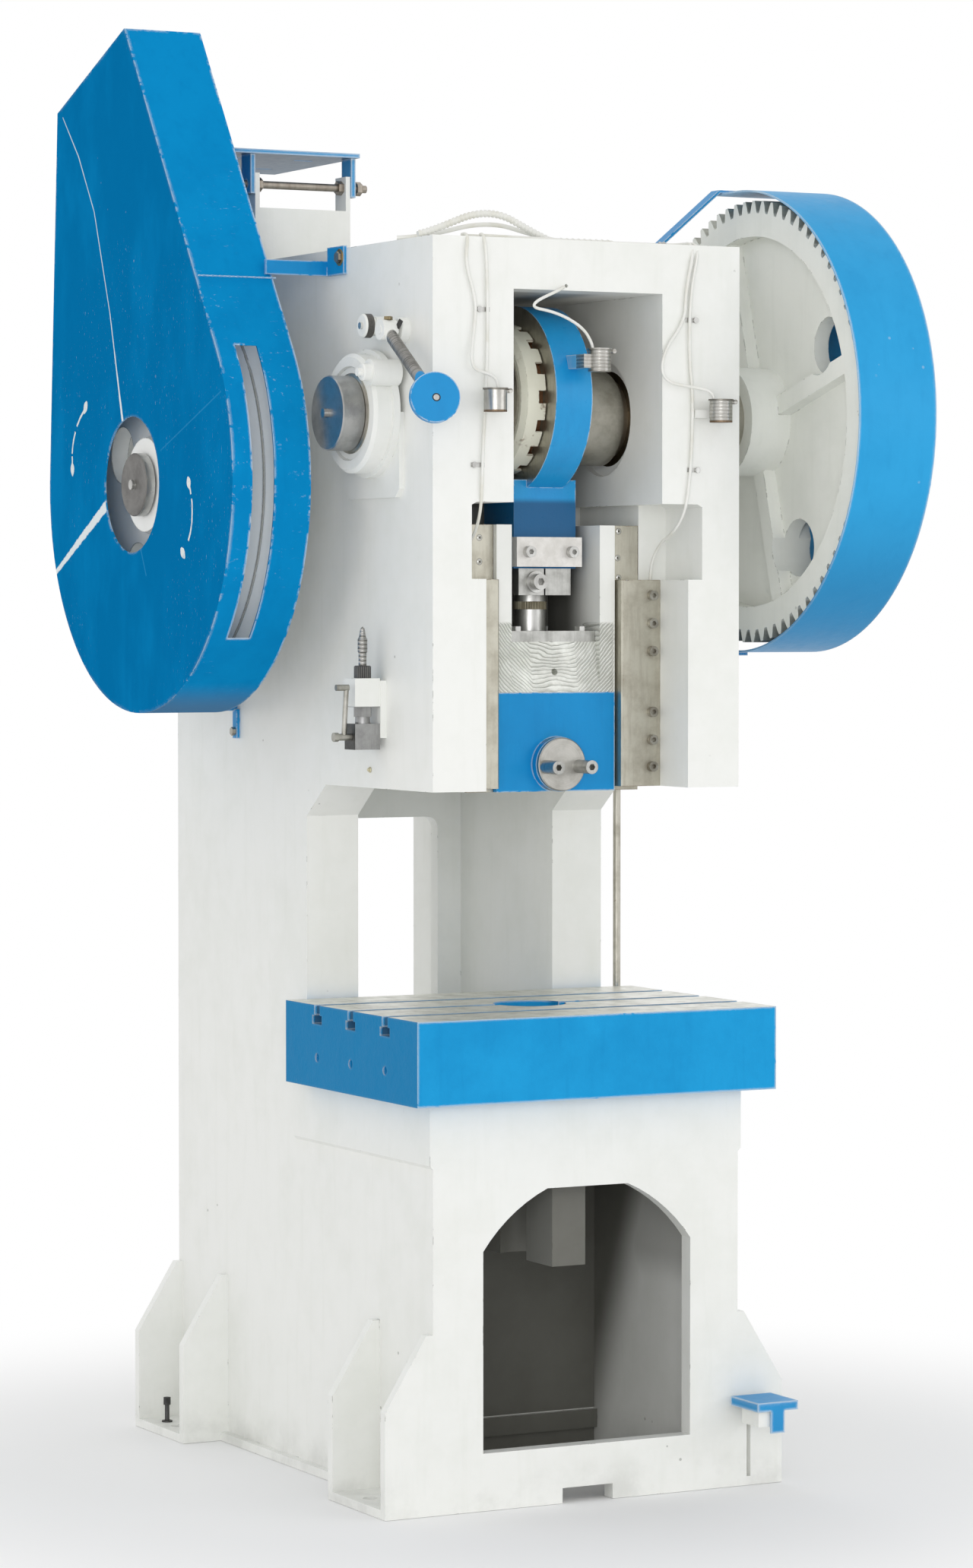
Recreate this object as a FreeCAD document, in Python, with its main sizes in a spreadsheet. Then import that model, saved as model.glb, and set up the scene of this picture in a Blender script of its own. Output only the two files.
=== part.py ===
import FreeCAD, Part
import math
import os
import Sketcher

# Open-back eccentric press. Lengths are in millimetres.
# +X is the press's right-hand side seen from the front, +Y points to its back, +Z up.
# The origin is on the floor, in the middle of the four anchor holes.

os.makedirs("parts", exist_ok=True)
doc = FreeCAD.newDocument("press")
sheet = doc.addObject("Spreadsheet::Sheet", "sizes")
V = FreeCAD.Vector


# ---------------------------------------------------------------- driving dimensions

class Size:
    """A length with its present value and the expression that drives it."""

    def __init__(self, amount, text):
        self.amount = float(amount)
        self.text = text

    def __add__(self, other):
        return Size(self.amount + amount(other), f"({self.text} + {text(other)})")

    def __radd__(self, other):
        return Size(amount(other) + self.amount, f"({text(other)} + {self.text})")

    def __sub__(self, other):
        return Size(self.amount - amount(other), f"({self.text} - {text(other)})")

    def __rsub__(self, other):
        return Size(amount(other) - self.amount, f"({text(other)} - {self.text})")

    def __mul__(self, other):
        return Size(self.amount * amount(other), f"({self.text} * {text(other)})")

    def __rmul__(self, other):
        return self * other

    def __truediv__(self, other):
        return Size(self.amount / amount(other), f"({self.text} / {text(other)})")

    def __neg__(self):
        return Size(-self.amount, f"(0 - {self.text})")

    def root(self):
        return Size(math.sqrt(self.amount), f"sqrt({self.text})")


def amount(size):
    return size.amount if isinstance(size, Size) else float(size)


def text(size):
    return size.text if isinstance(size, Size) else repr(float(size))


ROW = iter(range(1, 400))


def cell(alias, number):
    """Writes one driving dimension to the sheet and returns it as a Size."""
    row = next(ROW)
    sheet.set(f"A{row}", alias.replace("_", " "))
    sheet.set(f"B{row}", str(number))
    sheet.setAlias(f"B{row}", alias)
    return Size(number, f"sizes.{alias}")


# Frame: base, table, column and head
base_depth = cell("base_depth", 1072)
side_width = cell("side_width", 606)
side_wall = cell("side_wall", 103)
base_wall = cell("base_wall", 30)
table_top = cell("table_top", 709.5)
table_lip = cell("table_lip", 6)
table_length = cell("table_length", 545)
table_band = cell("table_band", 112)
table_skin = cell("table_skin", 90)
table_rib = cell("table_rib", 66)
rib_drop = cell("rib_drop", 215)
foot_reach = cell("foot_reach", 92)
foot_depth = cell("foot_depth", 225)
foot_height = cell("foot_height", 312)
foot_knee = cell("foot_knee", 184)
foot_ledge = cell("foot_ledge", 13)
gusset = cell("gusset", 18)
floor_plate = cell("floor_plate", 16)
floor_lip = cell("floor_lip", 15)
anchor_inset = cell("anchor_inset", 125)
jack_inset = cell("jack_inset", 75)
jack_hole = cell("jack_hole", 5)
anchor_edge = cell("anchor_edge", 33)
anchor_hole = cell("anchor_hole", 13)
ram_inset = cell("ram_inset", 216)
throat = cell("throat", 285)
knee_run = cell("knee_run", 79)
knee_drop = cell("knee_drop", 59)
head_bottom = cell("head_bottom", 1244)
head_top = cell("head_top", 2194)
head_skin = cell("head_skin", 40)
back_plate = cell("back_plate", 28)
back_plate_inset = cell("back_plate_inset", 202)
window_width = cell("window_width", 300)
window_top = cell("window_top", 1161)
window_bottom = cell("window_bottom", 770)
corner = cell("corner", 22)
arch_width = cell("arch_width", 412)
arch_sill = cell("arch_sill", 100)
arch_spring = cell("arch_spring", 450)
arch_top = cell("arch_top", 553)
arch_flat = cell("arch_flat", 160)
arch_bend = cell("arch_bend", 300)
floor_notch = cell("floor_notch", 100)
notch_rise = cell("notch_rise", 27)

# Openings in the head, slideway and gibs
crank_bay = cell("crank_bay", 294)
bay_back = cell("bay_back", 214)
bay_bottom = cell("bay_bottom", 1741)
bay_top = cell("bay_top", 2107)
recess_margin = cell("recess_margin", 28)
recess_bevel = cell("recess_bevel", 5)
channel_margin = cell("channel_margin", 28)
gib_top = cell("gib_top", 1609)
gib_clearance = cell("gib_clearance", 4)
gib_depth = cell("gib_depth", 30)
gib_plane = cell("gib_plane", 87)
slide_flange = cell("slide_flange", 54)
slide_back = cell("slide_back", 129)
play = cell("play", 0.1)

# Bolster
bolster_lip = cell("bolster_lip", 52)
bolster_depth = cell("bolster_depth", 524)
bolster_thick = cell("bolster_thick", 146.5)
bolster_overhang = cell("bolster_overhang", 44)
bolster_bore = cell("bolster_bore", 65)
slot_neck = cell("slot_neck", 22)
slot_foot = cell("slot_foot", 38)
slot_neck_depth = cell("slot_neck_depth", 18)
slot_foot_depth = cell("slot_foot_depth", 16)
slot_pitch = cell("slot_pitch", 135)
side_hole = cell("side_hole", 8)
side_hole_depth = cell("side_hole_depth", 40)
side_hole_drop = cell("side_hole_drop", 93)

# Crank line
crank_z = cell("crank_z", 1897)
throw = cell("throw", 30)
journal = cell("journal", 70)
bush_wall = cell("bush_wall", 15)
boss_recess = cell("boss_recess", 103)
boss_recess_depth = cell("boss_recess_depth", 12)
shoulder = cell("shoulder", 96)
eccentric = cell("eccentric", 115)
retainer = cell("retainer", 118)
flange_radius = cell("flange_radius", 104)
flange_base = cell("flange_base", 112)
flange_foot = cell("flange_foot", 12)
flange_reach = cell("flange_reach", 54)
end_disc = cell("end_disc", 65)
end_disc_thick = cell("end_disc_thick", 41)
dog_radius = cell("dog_radius", 132)
dog_count = cell("dog_count", 16)
gear_module = cell("gear_module", 10)
gear_teeth = cell("gear_teeth", 78)
pinion_teeth = cell("pinion_teeth", 18)
gear_gap = cell("gear_gap", 148)
gear_width = cell("gear_width", 90)
gear_seat = cell("gear_seat", 60)
gear_hub = cell("gear_hub", 98)
hub_gap = cell("hub_gap", 97)
hub_reach = cell("hub_reach", 257)
gear_web = cell("gear_web", 30)
rim_depth = cell("rim_depth", 42)
spoke = cell("spoke", 34)
web_hole = cell("web_hole", 52)
web_hole_inset = cell("web_hole_inset", 128)
end_plate = cell("end_plate", 98)

# Drive line
shaft_drop = cell("shaft_drop", 115)
drive_radius = cell("drive_radius", 45)
drive_seat = cell("drive_seat", 38)
drive_housing = cell("drive_housing", 78)
wheel_radius = cell("wheel_radius", 358)
wheel_reach = cell("wheel_reach", 237)
wheel_width = cell("wheel_width", 104)
wheel_rim = cell("wheel_rim", 60)
wheel_web = cell("wheel_web", 34)
wheel_hub = cell("wheel_hub", 85)
wheel_disc = cell("wheel_disc", 57)

# Guards
guard_reach = cell("guard_reach", 263)
guard_depth = cell("guard_depth", 150)
guard_radius = cell("guard_radius", 412)
guard_skin = cell("guard_skin", 3)
guard_hole = cell("guard_hole", 123)
guard_back = cell("guard_back", 26)
guard_apex = cell("guard_apex", 2605)
guard_apex_shift = cell("guard_apex_shift", 28)
guard_corner = cell("guard_corner", 2481)
guard_corner_shift = cell("guard_corner_shift", 343)
guard_slot_top = cell("guard_slot_top", 2016)
guard_slot_bottom = cell("guard_slot_bottom", 1507)
gear_guard_radius = cell("gear_guard_radius", 418)
gear_guard_gap = cell("gear_guard_gap", 123)
gear_guard_depth = cell("gear_guard_depth", 159)
gear_guard_tail = cell("gear_guard_tail", 87)

# Connecting rod and screw
strap_radius = cell("strap_radius", 165)
strap_width = cell("strap_width", 72)
rod_width = cell("rod_width", 124)
rod_depth = cell("rod_depth", 112)
rod_foot = cell("rod_foot", 1629)
rod_head = cell("rod_head", 1785)
clamp_plate_width = cell("clamp_plate_width", 130)
clamp_plate_thick = cell("clamp_plate_thick", 18)
clamp_plate_height = cell("clamp_plate_height", 52)
lock_width = cell("lock_width", 104)
lock_height = cell("lock_height", 47)
screw_radius = cell("screw_radius", 28.5)
screw_top = cell("screw_top", 1745)
ratchet_radius = cell("ratchet_radius", 29.5)
ratchet_z = cell("ratchet_z", 1557)
ratchet_height = cell("ratchet_height", 14)
ball_z = cell("ball_z", 1440)

# Slide
slide_width = cell("slide_width", 236)
slide_front = cell("slide_front", 98)
slide_bottom = cell("slide_bottom", 1237)
slide_sill = cell("slide_sill", 1519)
slide_top = cell("slide_top", 1705)
slide_arm = cell("slide_arm", 30)
slide_wall = cell("slide_wall", 34)
wear_strip = cell("wear_strip", 8)
cap_thick = cell("cap_thick", 19)
cap_slot = cell("cap_slot", 31)
cap_travel = cell("cap_travel", 30)
clamp_height = cell("clamp_height", 174)
clamp_boss = cell("clamp_boss", 48)
clamp_boss_reach = cell("clamp_boss_reach", 16)
clamp_disc_thick = cell("clamp_disc_thick", 8)
shank_radius = cell("shank_radius", 25)
shank_depth = cell("shank_depth", 90)

# Motor bracket and plate
bracket_setback = cell("bracket_setback", 422)
bracket_overhang = cell("bracket_overhang", 31)
bracket_inset = cell("bracket_inset", 161)
bracket_height = cell("bracket_height", 94)
plate_overhang = cell("plate_overhang", 102)
plate_inset = cell("plate_inset", 176)
plate_setback = cell("plate_setback", 432)
plate_depth = cell("plate_depth", 370)
plate_z = cell("plate_z", 2385)
plate_thick = cell("plate_thick", 8)
motor_pitch_x = cell("motor_pitch_x", 140)
motor_pitch_y = cell("motor_pitch_y", 178)
motor_slot = cell("motor_slot", 13.5)
motor_slot_radius = cell("motor_slot_radius", 6.5)
hinge_setback = cell("hinge_setback", 404)
hinge_z = cell("hinge_z", 2331)
hinge_rod_radius = cell("hinge_rod_radius", 7)
stud_inset = cell("stud_inset", 58)
stud_setback = cell("stud_setback", 91)

# Trip lever, pump, pedal and pull rod
trip_lead = cell("trip_lead", 111)
trip_z = cell("trip_z", 2037)
trip_reach = cell("trip_reach", 35)
trip_drop = cell("trip_drop", 35)
trip_length = cell("trip_length", 217)
palm_radius = cell("palm_radius", 43)
pump_reach = cell("pump_reach", 35)
pump_lead = cell("pump_lead", 21)
pump_z = cell("pump_z", 1313)
pivot_setback = cell("pivot_setback", 139)
pedal_pivot_z = cell("pedal_pivot_z", 130)
pedal_gap = cell("pedal_gap", 21)
pedal_thick = cell("pedal_thick", 5)
tread_width = cell("tread_width", 82)
tread_depth = cell("tread_depth", 93)
tread_rim = cell("tread_rim", 16)
pull_rod_gap = cell("pull_rod_gap", 40)
pull_rod_setback = cell("pull_rod_setback", 11)
pull_rod_top = cell("pull_rod_top", 1780)

# Oil cups and their tubes
cup_radius = cell("cup_radius", 20)
cup_height = cell("cup_height", 38)
left_cup_x = cell("left_cup_x", -199)
left_cup_z = cell("left_cup_z", 1894)
right_cup_x = cell("right_cup_x", 247)
right_cup_z = cell("right_cup_z", 1884)
rod_cup_x = cell("rod_cup_x", 26)
rod_cup_z = cell("rod_cup_z", 1969)
cup_reach = cell("cup_reach", 32)
tube_radius = cell("tube_radius", 2.7)
tube_gap = cell("tube_gap", 1.5)
hose_radius = cell("hose_radius", 6.5)
hose_ribs = cell("hose_ribs", 34)
wrap_radius = cell("wrap_radius", 4.5)

# Places that several pieces share
front = -base_depth / 2
back = base_depth / 2
side = side_width / 2
inner = side - side_wall
foot_span = side_width + foot_reach * 2
table_width = side_width + table_lip * 2
bolster_width = side_width + bolster_lip * 2
ram_y = front + ram_inset
column = ram_y + throat
gib_inner = slide_width / 2 + gib_clearance
slideway_width = slide_width + slide_flange * 2
channel_width = slideway_width + channel_margin * 2
recess_width = channel_width + recess_margin * 2
gear_face = side + gear_gap
hub_inner = side + hub_gap
hub_outer = side + hub_reach
wheel_face = -side - wheel_reach
guard_face = -side - guard_reach
gear_guard_face = side + gear_guard_gap
bracket_left = -side - bracket_overhang
bracket_right = -side + bracket_inset
plate_left = -side - plate_overhang
plate_right = -side + plate_inset
stud_x = -side + stud_inset
trip_x = -side - trip_reach
pump_x = -side - pump_reach
pedal_x = side + pedal_gap
pull_rod_x = side + pull_rod_gap
bracket_y = back - bracket_setback
plate_front = back - plate_setback
hinge_y = back - hinge_setback
stud_y = back - stud_setback
trip_y = ram_y - trip_lead
pump_y = ram_y - pump_lead
pedal_pivot_y = column + pivot_setback
pull_rod_y = column + pull_rod_setback
web_hole_circle = gear_module * gear_teeth / 2 - web_hole_inset
gib_y = ram_y - gib_plane
gear_centres = gear_module * (gear_teeth + pinion_teeth) / 2
drive_y = ram_y + (gear_centres * gear_centres - shaft_drop * shaft_drop).root()
drive_z = crank_z - shaft_drop
guard_apex_y = drive_y + guard_apex_shift
guard_corner_y = drive_y + guard_corner_shift
strap_z = crank_z + throw
bolster_top = table_top + bolster_thick
bolster_front = front - bolster_overhang
rod_front = ram_y - rod_depth / 2
well_floor = ball_z - screw_radius - 2 * throw - 2
doc.recompute()


# ---------------------------------------------------------------- ways of modelling

def drive(thing, prop, size):
    """Binds a property to a driving dimension, or sets it when it is a plain number."""
    if isinstance(size, Size):
        thing.setExpression(prop, size.text)
    else:
        thing.setExpression(prop, text(size))


def place(thing, at):
    for axis, size in zip("xyz", at):
        drive(thing, f"Placement.Base.{axis}", size)
    return thing


def new_body(label, at=(0, 0, 0)):
    body = doc.addObject("PartDesign::Body", label)
    body.Label = label
    return place(body, at)


def plane(body, role):
    return next(item for item in body.Origin.OriginFeatures if item.Role == role)


def pin(sketch, geometry, end, x, y):
    """Holds a sketch point at x, y from the sketch's origin."""
    for kind, axis, size in (("DistanceX", -2, x), ("DistanceY", -1, y)):
        if not isinstance(size, Size) and amount(size) == 0:
            sketch.addConstraint(Sketcher.Constraint("PointOnObject", geometry, end, axis))
            continue
        rule = Sketcher.Constraint(kind, -1, 1, geometry, end, amount(size))
        index = sketch.addConstraint(rule)
        drive(sketch, f"Constraints[{index}]", size)


def radius(sketch, geometry, size):
    index = sketch.addConstraint(Sketcher.Constraint("Radius", geometry, amount(size)))
    drive(sketch, f"Constraints[{index}]", size)


def circle(x, y, size):
    """Returns a drawing step: a circle of the given radius."""
    def draw(sketch):
        shape = Part.Circle(V(amount(x), amount(y), 0), V(0, 0, 1), amount(size))
        geometry = sketch.addGeometry(shape)
        pin(sketch, geometry, 3, x, y)
        radius(sketch, geometry, size)
    return draw


def loop(*corners):
    """Returns a drawing step: a closed outline of corners (x, y) or (x, y, bend).

    A bend is the radius of an arc to the next corner, to the right of the way there."""
    def draw(sketch):
        spots = [V(amount(c[0]), amount(c[1]), 0) for c in corners]
        ends = []
        for here, spot in enumerate(spots):
            after = spots[(here + 1) % len(spots)]
            if len(corners[here]) == 2:
                geometry = sketch.addGeometry(Part.LineSegment(spot, after))
                ends.append((geometry, 1, 2))
                continue
            bend = amount(corners[here][2])
            chord = after - spot
            half = chord.Length / 2
            rise = bend - math.sqrt(bend * bend - half * half)
            outward = V(chord.y, -chord.x, 0).normalize()
            middle = (spot + after) / 2 + outward * rise
            geometry = sketch.addGeometry(Part.Arc(spot, middle, after))
            starts_here = sketch.getPoint(geometry, 1).distanceToPoint(spot) < 0.01
            ends.append((geometry, 1, 2) if starts_here else (geometry, 2, 1))
        for here, (geometry, start, finish) in enumerate(ends):
            following = ends[(here + 1) % len(ends)]
            rule = Sketcher.Constraint("Coincident", geometry, finish, following[0], following[1])
            sketch.addConstraint(rule)
            pin(sketch, geometry, start, corners[here][0], corners[here][1])
            if len(corners[here]) == 3:
                radius(sketch, geometry, corners[here][2])
    return draw


def rectangle(x0, y0, x1, y1):
    return loop((x0, y0), (x1, y0), (x1, y1), (x0, y1))


def sketch_on(body, name, role, start, drawings):
    sketch = body.newObject("Sketcher::SketchObject", name + "_sketch")
    sketch.AttachmentSupport = [(plane(body, role), "")]
    sketch.MapMode = "FlatFace"
    drive(sketch, "AttachmentOffset.Base.z", -start if role == "XZ_Plane" else start)
    for draw in drawings:
        draw(sketch)
    return sketch


def prism(body, name, role, start, depth, *drawings, cut=False):
    """Adds or cuts an outline from start, for depth, along the plane's positive axis."""
    sketch = sketch_on(body, name, role, start, drawings)
    feature = body.newObject("PartDesign::Pocket" if cut else "PartDesign::Pad", name)
    feature.Profile = sketch
    feature.Reversed = (role == "XZ_Plane") != cut
    drive(feature, "Length", depth)
    sketch.Visibility = False
    return feature


def spin(body, name, axis, *corners, cut=False):
    """Turns an outline about axis X, Y or Z; corners are (along, radius) pairs."""
    role = "YZ_Plane" if axis == "Y" else "XZ_Plane"
    if axis == "Z":
        corners = [(c[1], c[0]) + tuple(c[2:]) for c in corners]
    sketch = sketch_on(body, name, role, 0, [loop(*corners)])
    feature = body.newObject("PartDesign::Groove" if cut else "PartDesign::Revolution", name)
    feature.Profile = sketch
    feature.ReferenceAxis = (sketch, ["V_Axis" if axis == "Z" else "H_Axis"])
    feature.Angle = 360
    sketch.Visibility = False
    return feature


def turned(label, axis, at, *corners):
    body = new_body(label, at)
    spin(body, label + "_turn", axis, *corners)
    return body


def ring_pattern(body, feature, axis, count):
    """Repeats a feature round one of the body's own axes."""
    pattern = body.newObject("PartDesign::PolarPattern", feature.Name + "_round")
    pattern.Originals = [feature]
    pattern.Axis = (plane(body, axis), [""])
    pattern.Angle = 360
    drive(pattern, "Occurrences", count)
    body.Tip = pattern
    return pattern


TURNS = {"X": FreeCAD.Rotation(V(0, 1, 0), 90), "Y": FreeCAD.Rotation(V(1, 0, 0), -90),
         "Z": FreeCAD.Rotation()}


def rod(name, axis, at, size, length):
    """A round bar from at, along the positive axis."""
    bar = doc.addObject("Part::Cylinder", name)
    bar.Placement.Rotation = TURNS[axis]
    drive(bar, "Radius", size)
    drive(bar, "Height", length)
    return place(bar, at)


def hexagon(name, axis, at, size, length):
    """A six-sided bar with the given radius over its corners."""
    bar = doc.addObject("Part::Prism", name)
    bar.Polygon = 6
    bar.Placement.Rotation = TURNS[axis]
    drive(bar, "Circumradius", size)
    drive(bar, "Height", length)
    return place(bar, at)


def block(name, at, width, depth, height):
    brick = doc.addObject("Part::Box", name)
    drive(brick, "Length", width)
    drive(brick, "Width", depth)
    drive(brick, "Height", height)
    return place(brick, at)


def fuse(label, pieces):
    whole = doc.addObject("Part::MultiFuse", label)
    whole.Label = label
    whole.Shapes = pieces
    return whole


def cut(label, base, tool):
    whole = doc.addObject("Part::Cut", label)
    whole.Label = label
    whole.Base = base
    whole.Tool = tool
    return whole


def group(label, pieces):
    """Separate solids of one kind that share a node."""
    whole = doc.addObject("Part::Compound", label)
    whole.Label = label
    whole.Links = pieces
    return whole


def socket_screw(name, axis, at, size, length, socket_at):
    """A cylinder-head screw's head with its hexagon socket, which opens at socket_at."""
    head = rod(name + "_head", axis, at, size, length)
    socket = hexagon(name + "_socket", axis, socket_at, size * 0.5, length * 0.6)
    return cut(name, head, socket)


nodes = []


def keep(piece):
    nodes.append(piece)
    return piece


# ---------------------------------------------------------------- frame

def frame_casting():
    """C-shaped frame: base on four feet, table, two side walls and the head."""
    body = new_body("frame_casting")
    prism(body, "profile", "YZ_Plane", -side, side_width, loop(
        (front, 0), (back, 0), (back, head_top), (front, head_top), (front, head_bottom),
        (column - knee_run, head_bottom), (column, head_bottom - knee_drop),
        (column, table_top), (front, table_top)))
    step = table_top - table_band
    lip = (table_width - side_width) / 2
    prism(body, "table_band", "XZ_Plane", front, table_length, loop(
        (-table_width / 2, table_top), (-table_width / 2, step + lip), (-side, step),
        (side, step), (table_width / 2, step + lip), (table_width / 2, table_top)))
    gusset_spots = (front, front + foot_depth - gusset, back - foot_depth, back - gusset)
    for number, spot in enumerate(gusset_spots):
        prism(body, f"gusset_{number}", "XZ_Plane", spot, gusset, loop(
            (-foot_span / 2, 0), (foot_span / 2, 0), (foot_span / 2, foot_knee),
            (side + foot_ledge, foot_height), (-side - foot_ledge, foot_height),
            (-foot_span / 2, foot_knee)))
    sole = foot_span / 2
    prism(body, "front_sole", "XY_Plane", 0, floor_plate,
          rectangle(-sole, front, sole, front + foot_depth))
    prism(body, "rear_sole", "XY_Plane", 0, floor_plate,
          rectangle(-sole, back - foot_depth, sole, back))
    prism(body, "floor_lip", "XY_Plane", 0, floor_plate,
          rectangle(-side - floor_lip, front + foot_depth, side + floor_lip, back - foot_depth))
    prism(body, "boss_pad", "YZ_Plane", -side - 9, 10,
          loop((ram_y - 106, crank_z - 132), (ram_y - 91, crank_z - 147),
               (ram_y + 91, crank_z - 147), (ram_y + 106, crank_z - 132),
               (ram_y + 106, crank_z), (ram_y - 106, crank_z)))
    # hollow base and column
    ceiling = table_top - table_skin
    prism(body, "base_hollow", "XY_Plane", 0, ceiling,
          rectangle(base_wall - side, front + base_wall, side - base_wall, column - base_wall),
          cut=True)
    back_wall = back - back_plate_inset
    prism(body, "column_hollow", "XY_Plane", 0, ceiling,
          rectangle(-inner, column, inner, back_wall), cut=True)
    prism(body, "throat_gap", "XY_Plane", table_top, head_bottom - table_top,
          rectangle(-inner, column - knee_run, inner, back_wall), cut=True)
    prism(body, "rear_channel", "XY_Plane", floor_plate, head_bottom - floor_plate,
          rectangle(-inner, back_wall + back_plate, inner, back), cut=True)
    half = window_width / 2
    prism(body, "rear_window", "XZ_Plane", back_wall, back_plate, loop(
        (corner - half, window_bottom), (half - corner, window_bottom, corner * 1.0001),
        (half, window_bottom + corner), (half, window_top - corner, corner * 1.0001),
        (half - corner, window_top), (corner - half, window_top, corner * 1.0001),
        (-half, window_top - corner), (-half, window_bottom + corner, corner * 1.0001)),
        cut=True)
    prism(body, "rear_bay", "XY_Plane", head_bottom + base_wall,
          head_top - head_skin - head_bottom - base_wall,
          rectangle(-inner, ram_y + bay_back + base_wall, inner, back), cut=True)
    # arch, floor notch and treadle slots
    prism(body, "arch", "XZ_Plane", front, base_wall, loop(
        (-arch_width / 2, arch_sill), (arch_width / 2, arch_sill),
        (arch_width / 2, arch_spring, arch_bend), (arch_flat / 2, arch_top),
        (-arch_flat / 2, arch_top, arch_bend), (-arch_width / 2, arch_spring)), cut=True)
    prism(body, "floor_notch", "XZ_Plane", front, base_wall,
          rectangle(-floor_notch / 2, 0, floor_notch / 2, notch_rise), cut=True)
    prism(body, "treadle_slot", "XZ_Plane", front, foot_depth,
          rectangle(pedal_x - 1.5, floor_plate, pedal_x + pedal_thick + 1.5,
                    pedal_pivot_z + 20), cut=True)
    # low rail across the hollow's rear wall
    prism(body, "cross_rail", "XY_Plane", 38, 34,
          rectangle(base_wall - side, column - base_wall - 12, side - base_wall,
                    column - base_wall + 1))
    # rib under the table, with the scrap hole through table and rib
    prism(body, "table_rib", "XY_Plane", ceiling - rib_drop, rib_drop + 1,
          rectangle(-table_rib / 2, front + 70, table_rib / 2, column - base_wall))
    prism(body, "scrap_hole", "XY_Plane", ceiling - rib_drop, rib_drop + table_skin,
          circle(0, ram_y, bolster_bore - 5), cut=True)
    # head: crank bay, recess over the gibs, gib channel and slideway
    bay = crank_bay / 2
    prism(body, "crank_bay", "XY_Plane", bay_bottom - 1, bay_top - bay_bottom + 1,
          rectangle(-bay, front, bay, ram_y + bay_back), cut=True)
    wide = recess_width / 2
    prism(body, "recess", "XZ_Plane", front, gib_y - front, loop(
        (-wide, gib_top), (wide, gib_top), (wide, bay_bottom - recess_bevel),
        (wide - recess_bevel * 2, bay_bottom), (recess_bevel * 2 - wide, bay_bottom),
        (-wide, bay_bottom - recess_bevel)), cut=True)
    prism(body, "gib_channel", "XY_Plane", head_bottom, gib_top - head_bottom,
          rectangle(-channel_width / 2, front, channel_width / 2, gib_y), cut=True)
    way = slideway_width / 2 + play
    prism(body, "slideway", "XY_Plane", head_bottom, bay_bottom - head_bottom,
          rectangle(-way, gib_y, way, ram_y + slide_back + play), cut=True)
    prism(body, "tube_hole", "XZ_Plane", front, 25,
          circle(-44, bay_top + 8, tube_radius + 0.5), cut=True)
    # bearing bores
    prism(body, "crank_bores", "YZ_Plane", -side - 9, side_width + 20,
          circle(ram_y, crank_z, journal + bush_wall), cut=True)
    for name, start in (("left_recess", -bay - boss_recess_depth), ("right_recess", bay)):
        prism(body, name, "YZ_Plane", start, boss_recess_depth,
              circle(ram_y, crank_z, boss_recess), cut=True)
    prism(body, "drive_bores", "YZ_Plane", -side, side_width,
          circle(drive_y, drive_z, drive_radius + 15), cut=True)
    hole_x = foot_span / 2 - anchor_edge
    hole_y = base_depth / 2 - anchor_inset
    prism(body, "anchor_holes", "XY_Plane", 0, floor_plate,
          *[circle(x, y, anchor_hole) for x in (-hole_x, hole_x) for y in (-hole_y, hole_y)],
          cut=True)
    prism(body, "jack_hole", "XY_Plane", 0, floor_plate,
          circle(-hole_x, base_depth / 2 - jack_inset, jack_hole), cut=True)
    return body


def bolster_plate():
    """Clamping plate with three T-slots across it and a round drop hole."""
    body = new_body("bolster_plate")
    half = bolster_width / 2
    prism(body, "slab", "XY_Plane", table_top, bolster_thick,
          rectangle(-half, bolster_front, half, bolster_front + bolster_depth))
    prism(body, "drop_hole", "XY_Plane", table_top, bolster_thick,
          circle(0, ram_y, bolster_bore), cut=True)
    foot_z = bolster_top - slot_neck_depth - slot_foot_depth
    for number, place_in_row in enumerate((-1, 0, 1)):
        y = ram_y + place_in_row * slot_pitch
        prism(body, f"slot_neck_{number}", "YZ_Plane", -half, bolster_width,
              rectangle(y - slot_neck / 2, foot_z, y + slot_neck / 2, bolster_top), cut=True)
        prism(body, f"slot_foot_{number}", "YZ_Plane", -half, bolster_width,
              rectangle(y - slot_foot / 2, foot_z, y + slot_foot / 2, foot_z + slot_foot_depth),
              cut=True)
        for end, start in (("left", -half), ("right", half - side_hole_depth)):
            prism(body, f"{end}_hole_{number}", "YZ_Plane", start, side_hole_depth,
                  circle(y, bolster_top - side_hole_drop, side_hole), cut=True)
    return body


def gib(label, mirror):
    """Front guide plate that holds the slide in its way; mirror is -1 on the left."""
    low, high = (gib_inner, channel_width / 2) if mirror > 0 else (-channel_width / 2, -gib_inner)
    body = new_body(label)
    prism(body, label + "_plate", "XY_Plane", head_bottom, gib_top - head_bottom,
          rectangle(low, gib_y - gib_depth, high, gib_y))
    edge = gib_inner * mirror
    prism(body, label + "_bevel", "XY_Plane", head_bottom, gib_top - head_bottom,
          loop((edge, gib_y - gib_depth), (edge + 3 * mirror, gib_y - gib_depth),
               (edge, gib_y - gib_depth + 3)), cut=True)
    return body


GIB_SCREW_HEIGHTS = (0.075, 0.21, 0.345, 0.64, 0.775, 0.905)


def gib_screws():
    screws = []
    for side_name, mirror in (("left", -1), ("right", 1)):
        x = mirror * (channel_width / 2 - 18)
        for number, share in enumerate(GIB_SCREW_HEIGHTS):
            z = gib_top - (gib_top - head_bottom) * share
            front_y = gib_y - gib_depth
            screws.append(socket_screw(f"gib_screw_{side_name}_{number}", "Y",
                                       (x, front_y - 10, z), 9.0, 10.0,
                                       (x, front_y - 10, z)))
    return group("gib_screws", screws)


# ---------------------------------------------------------------- crank line

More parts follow.
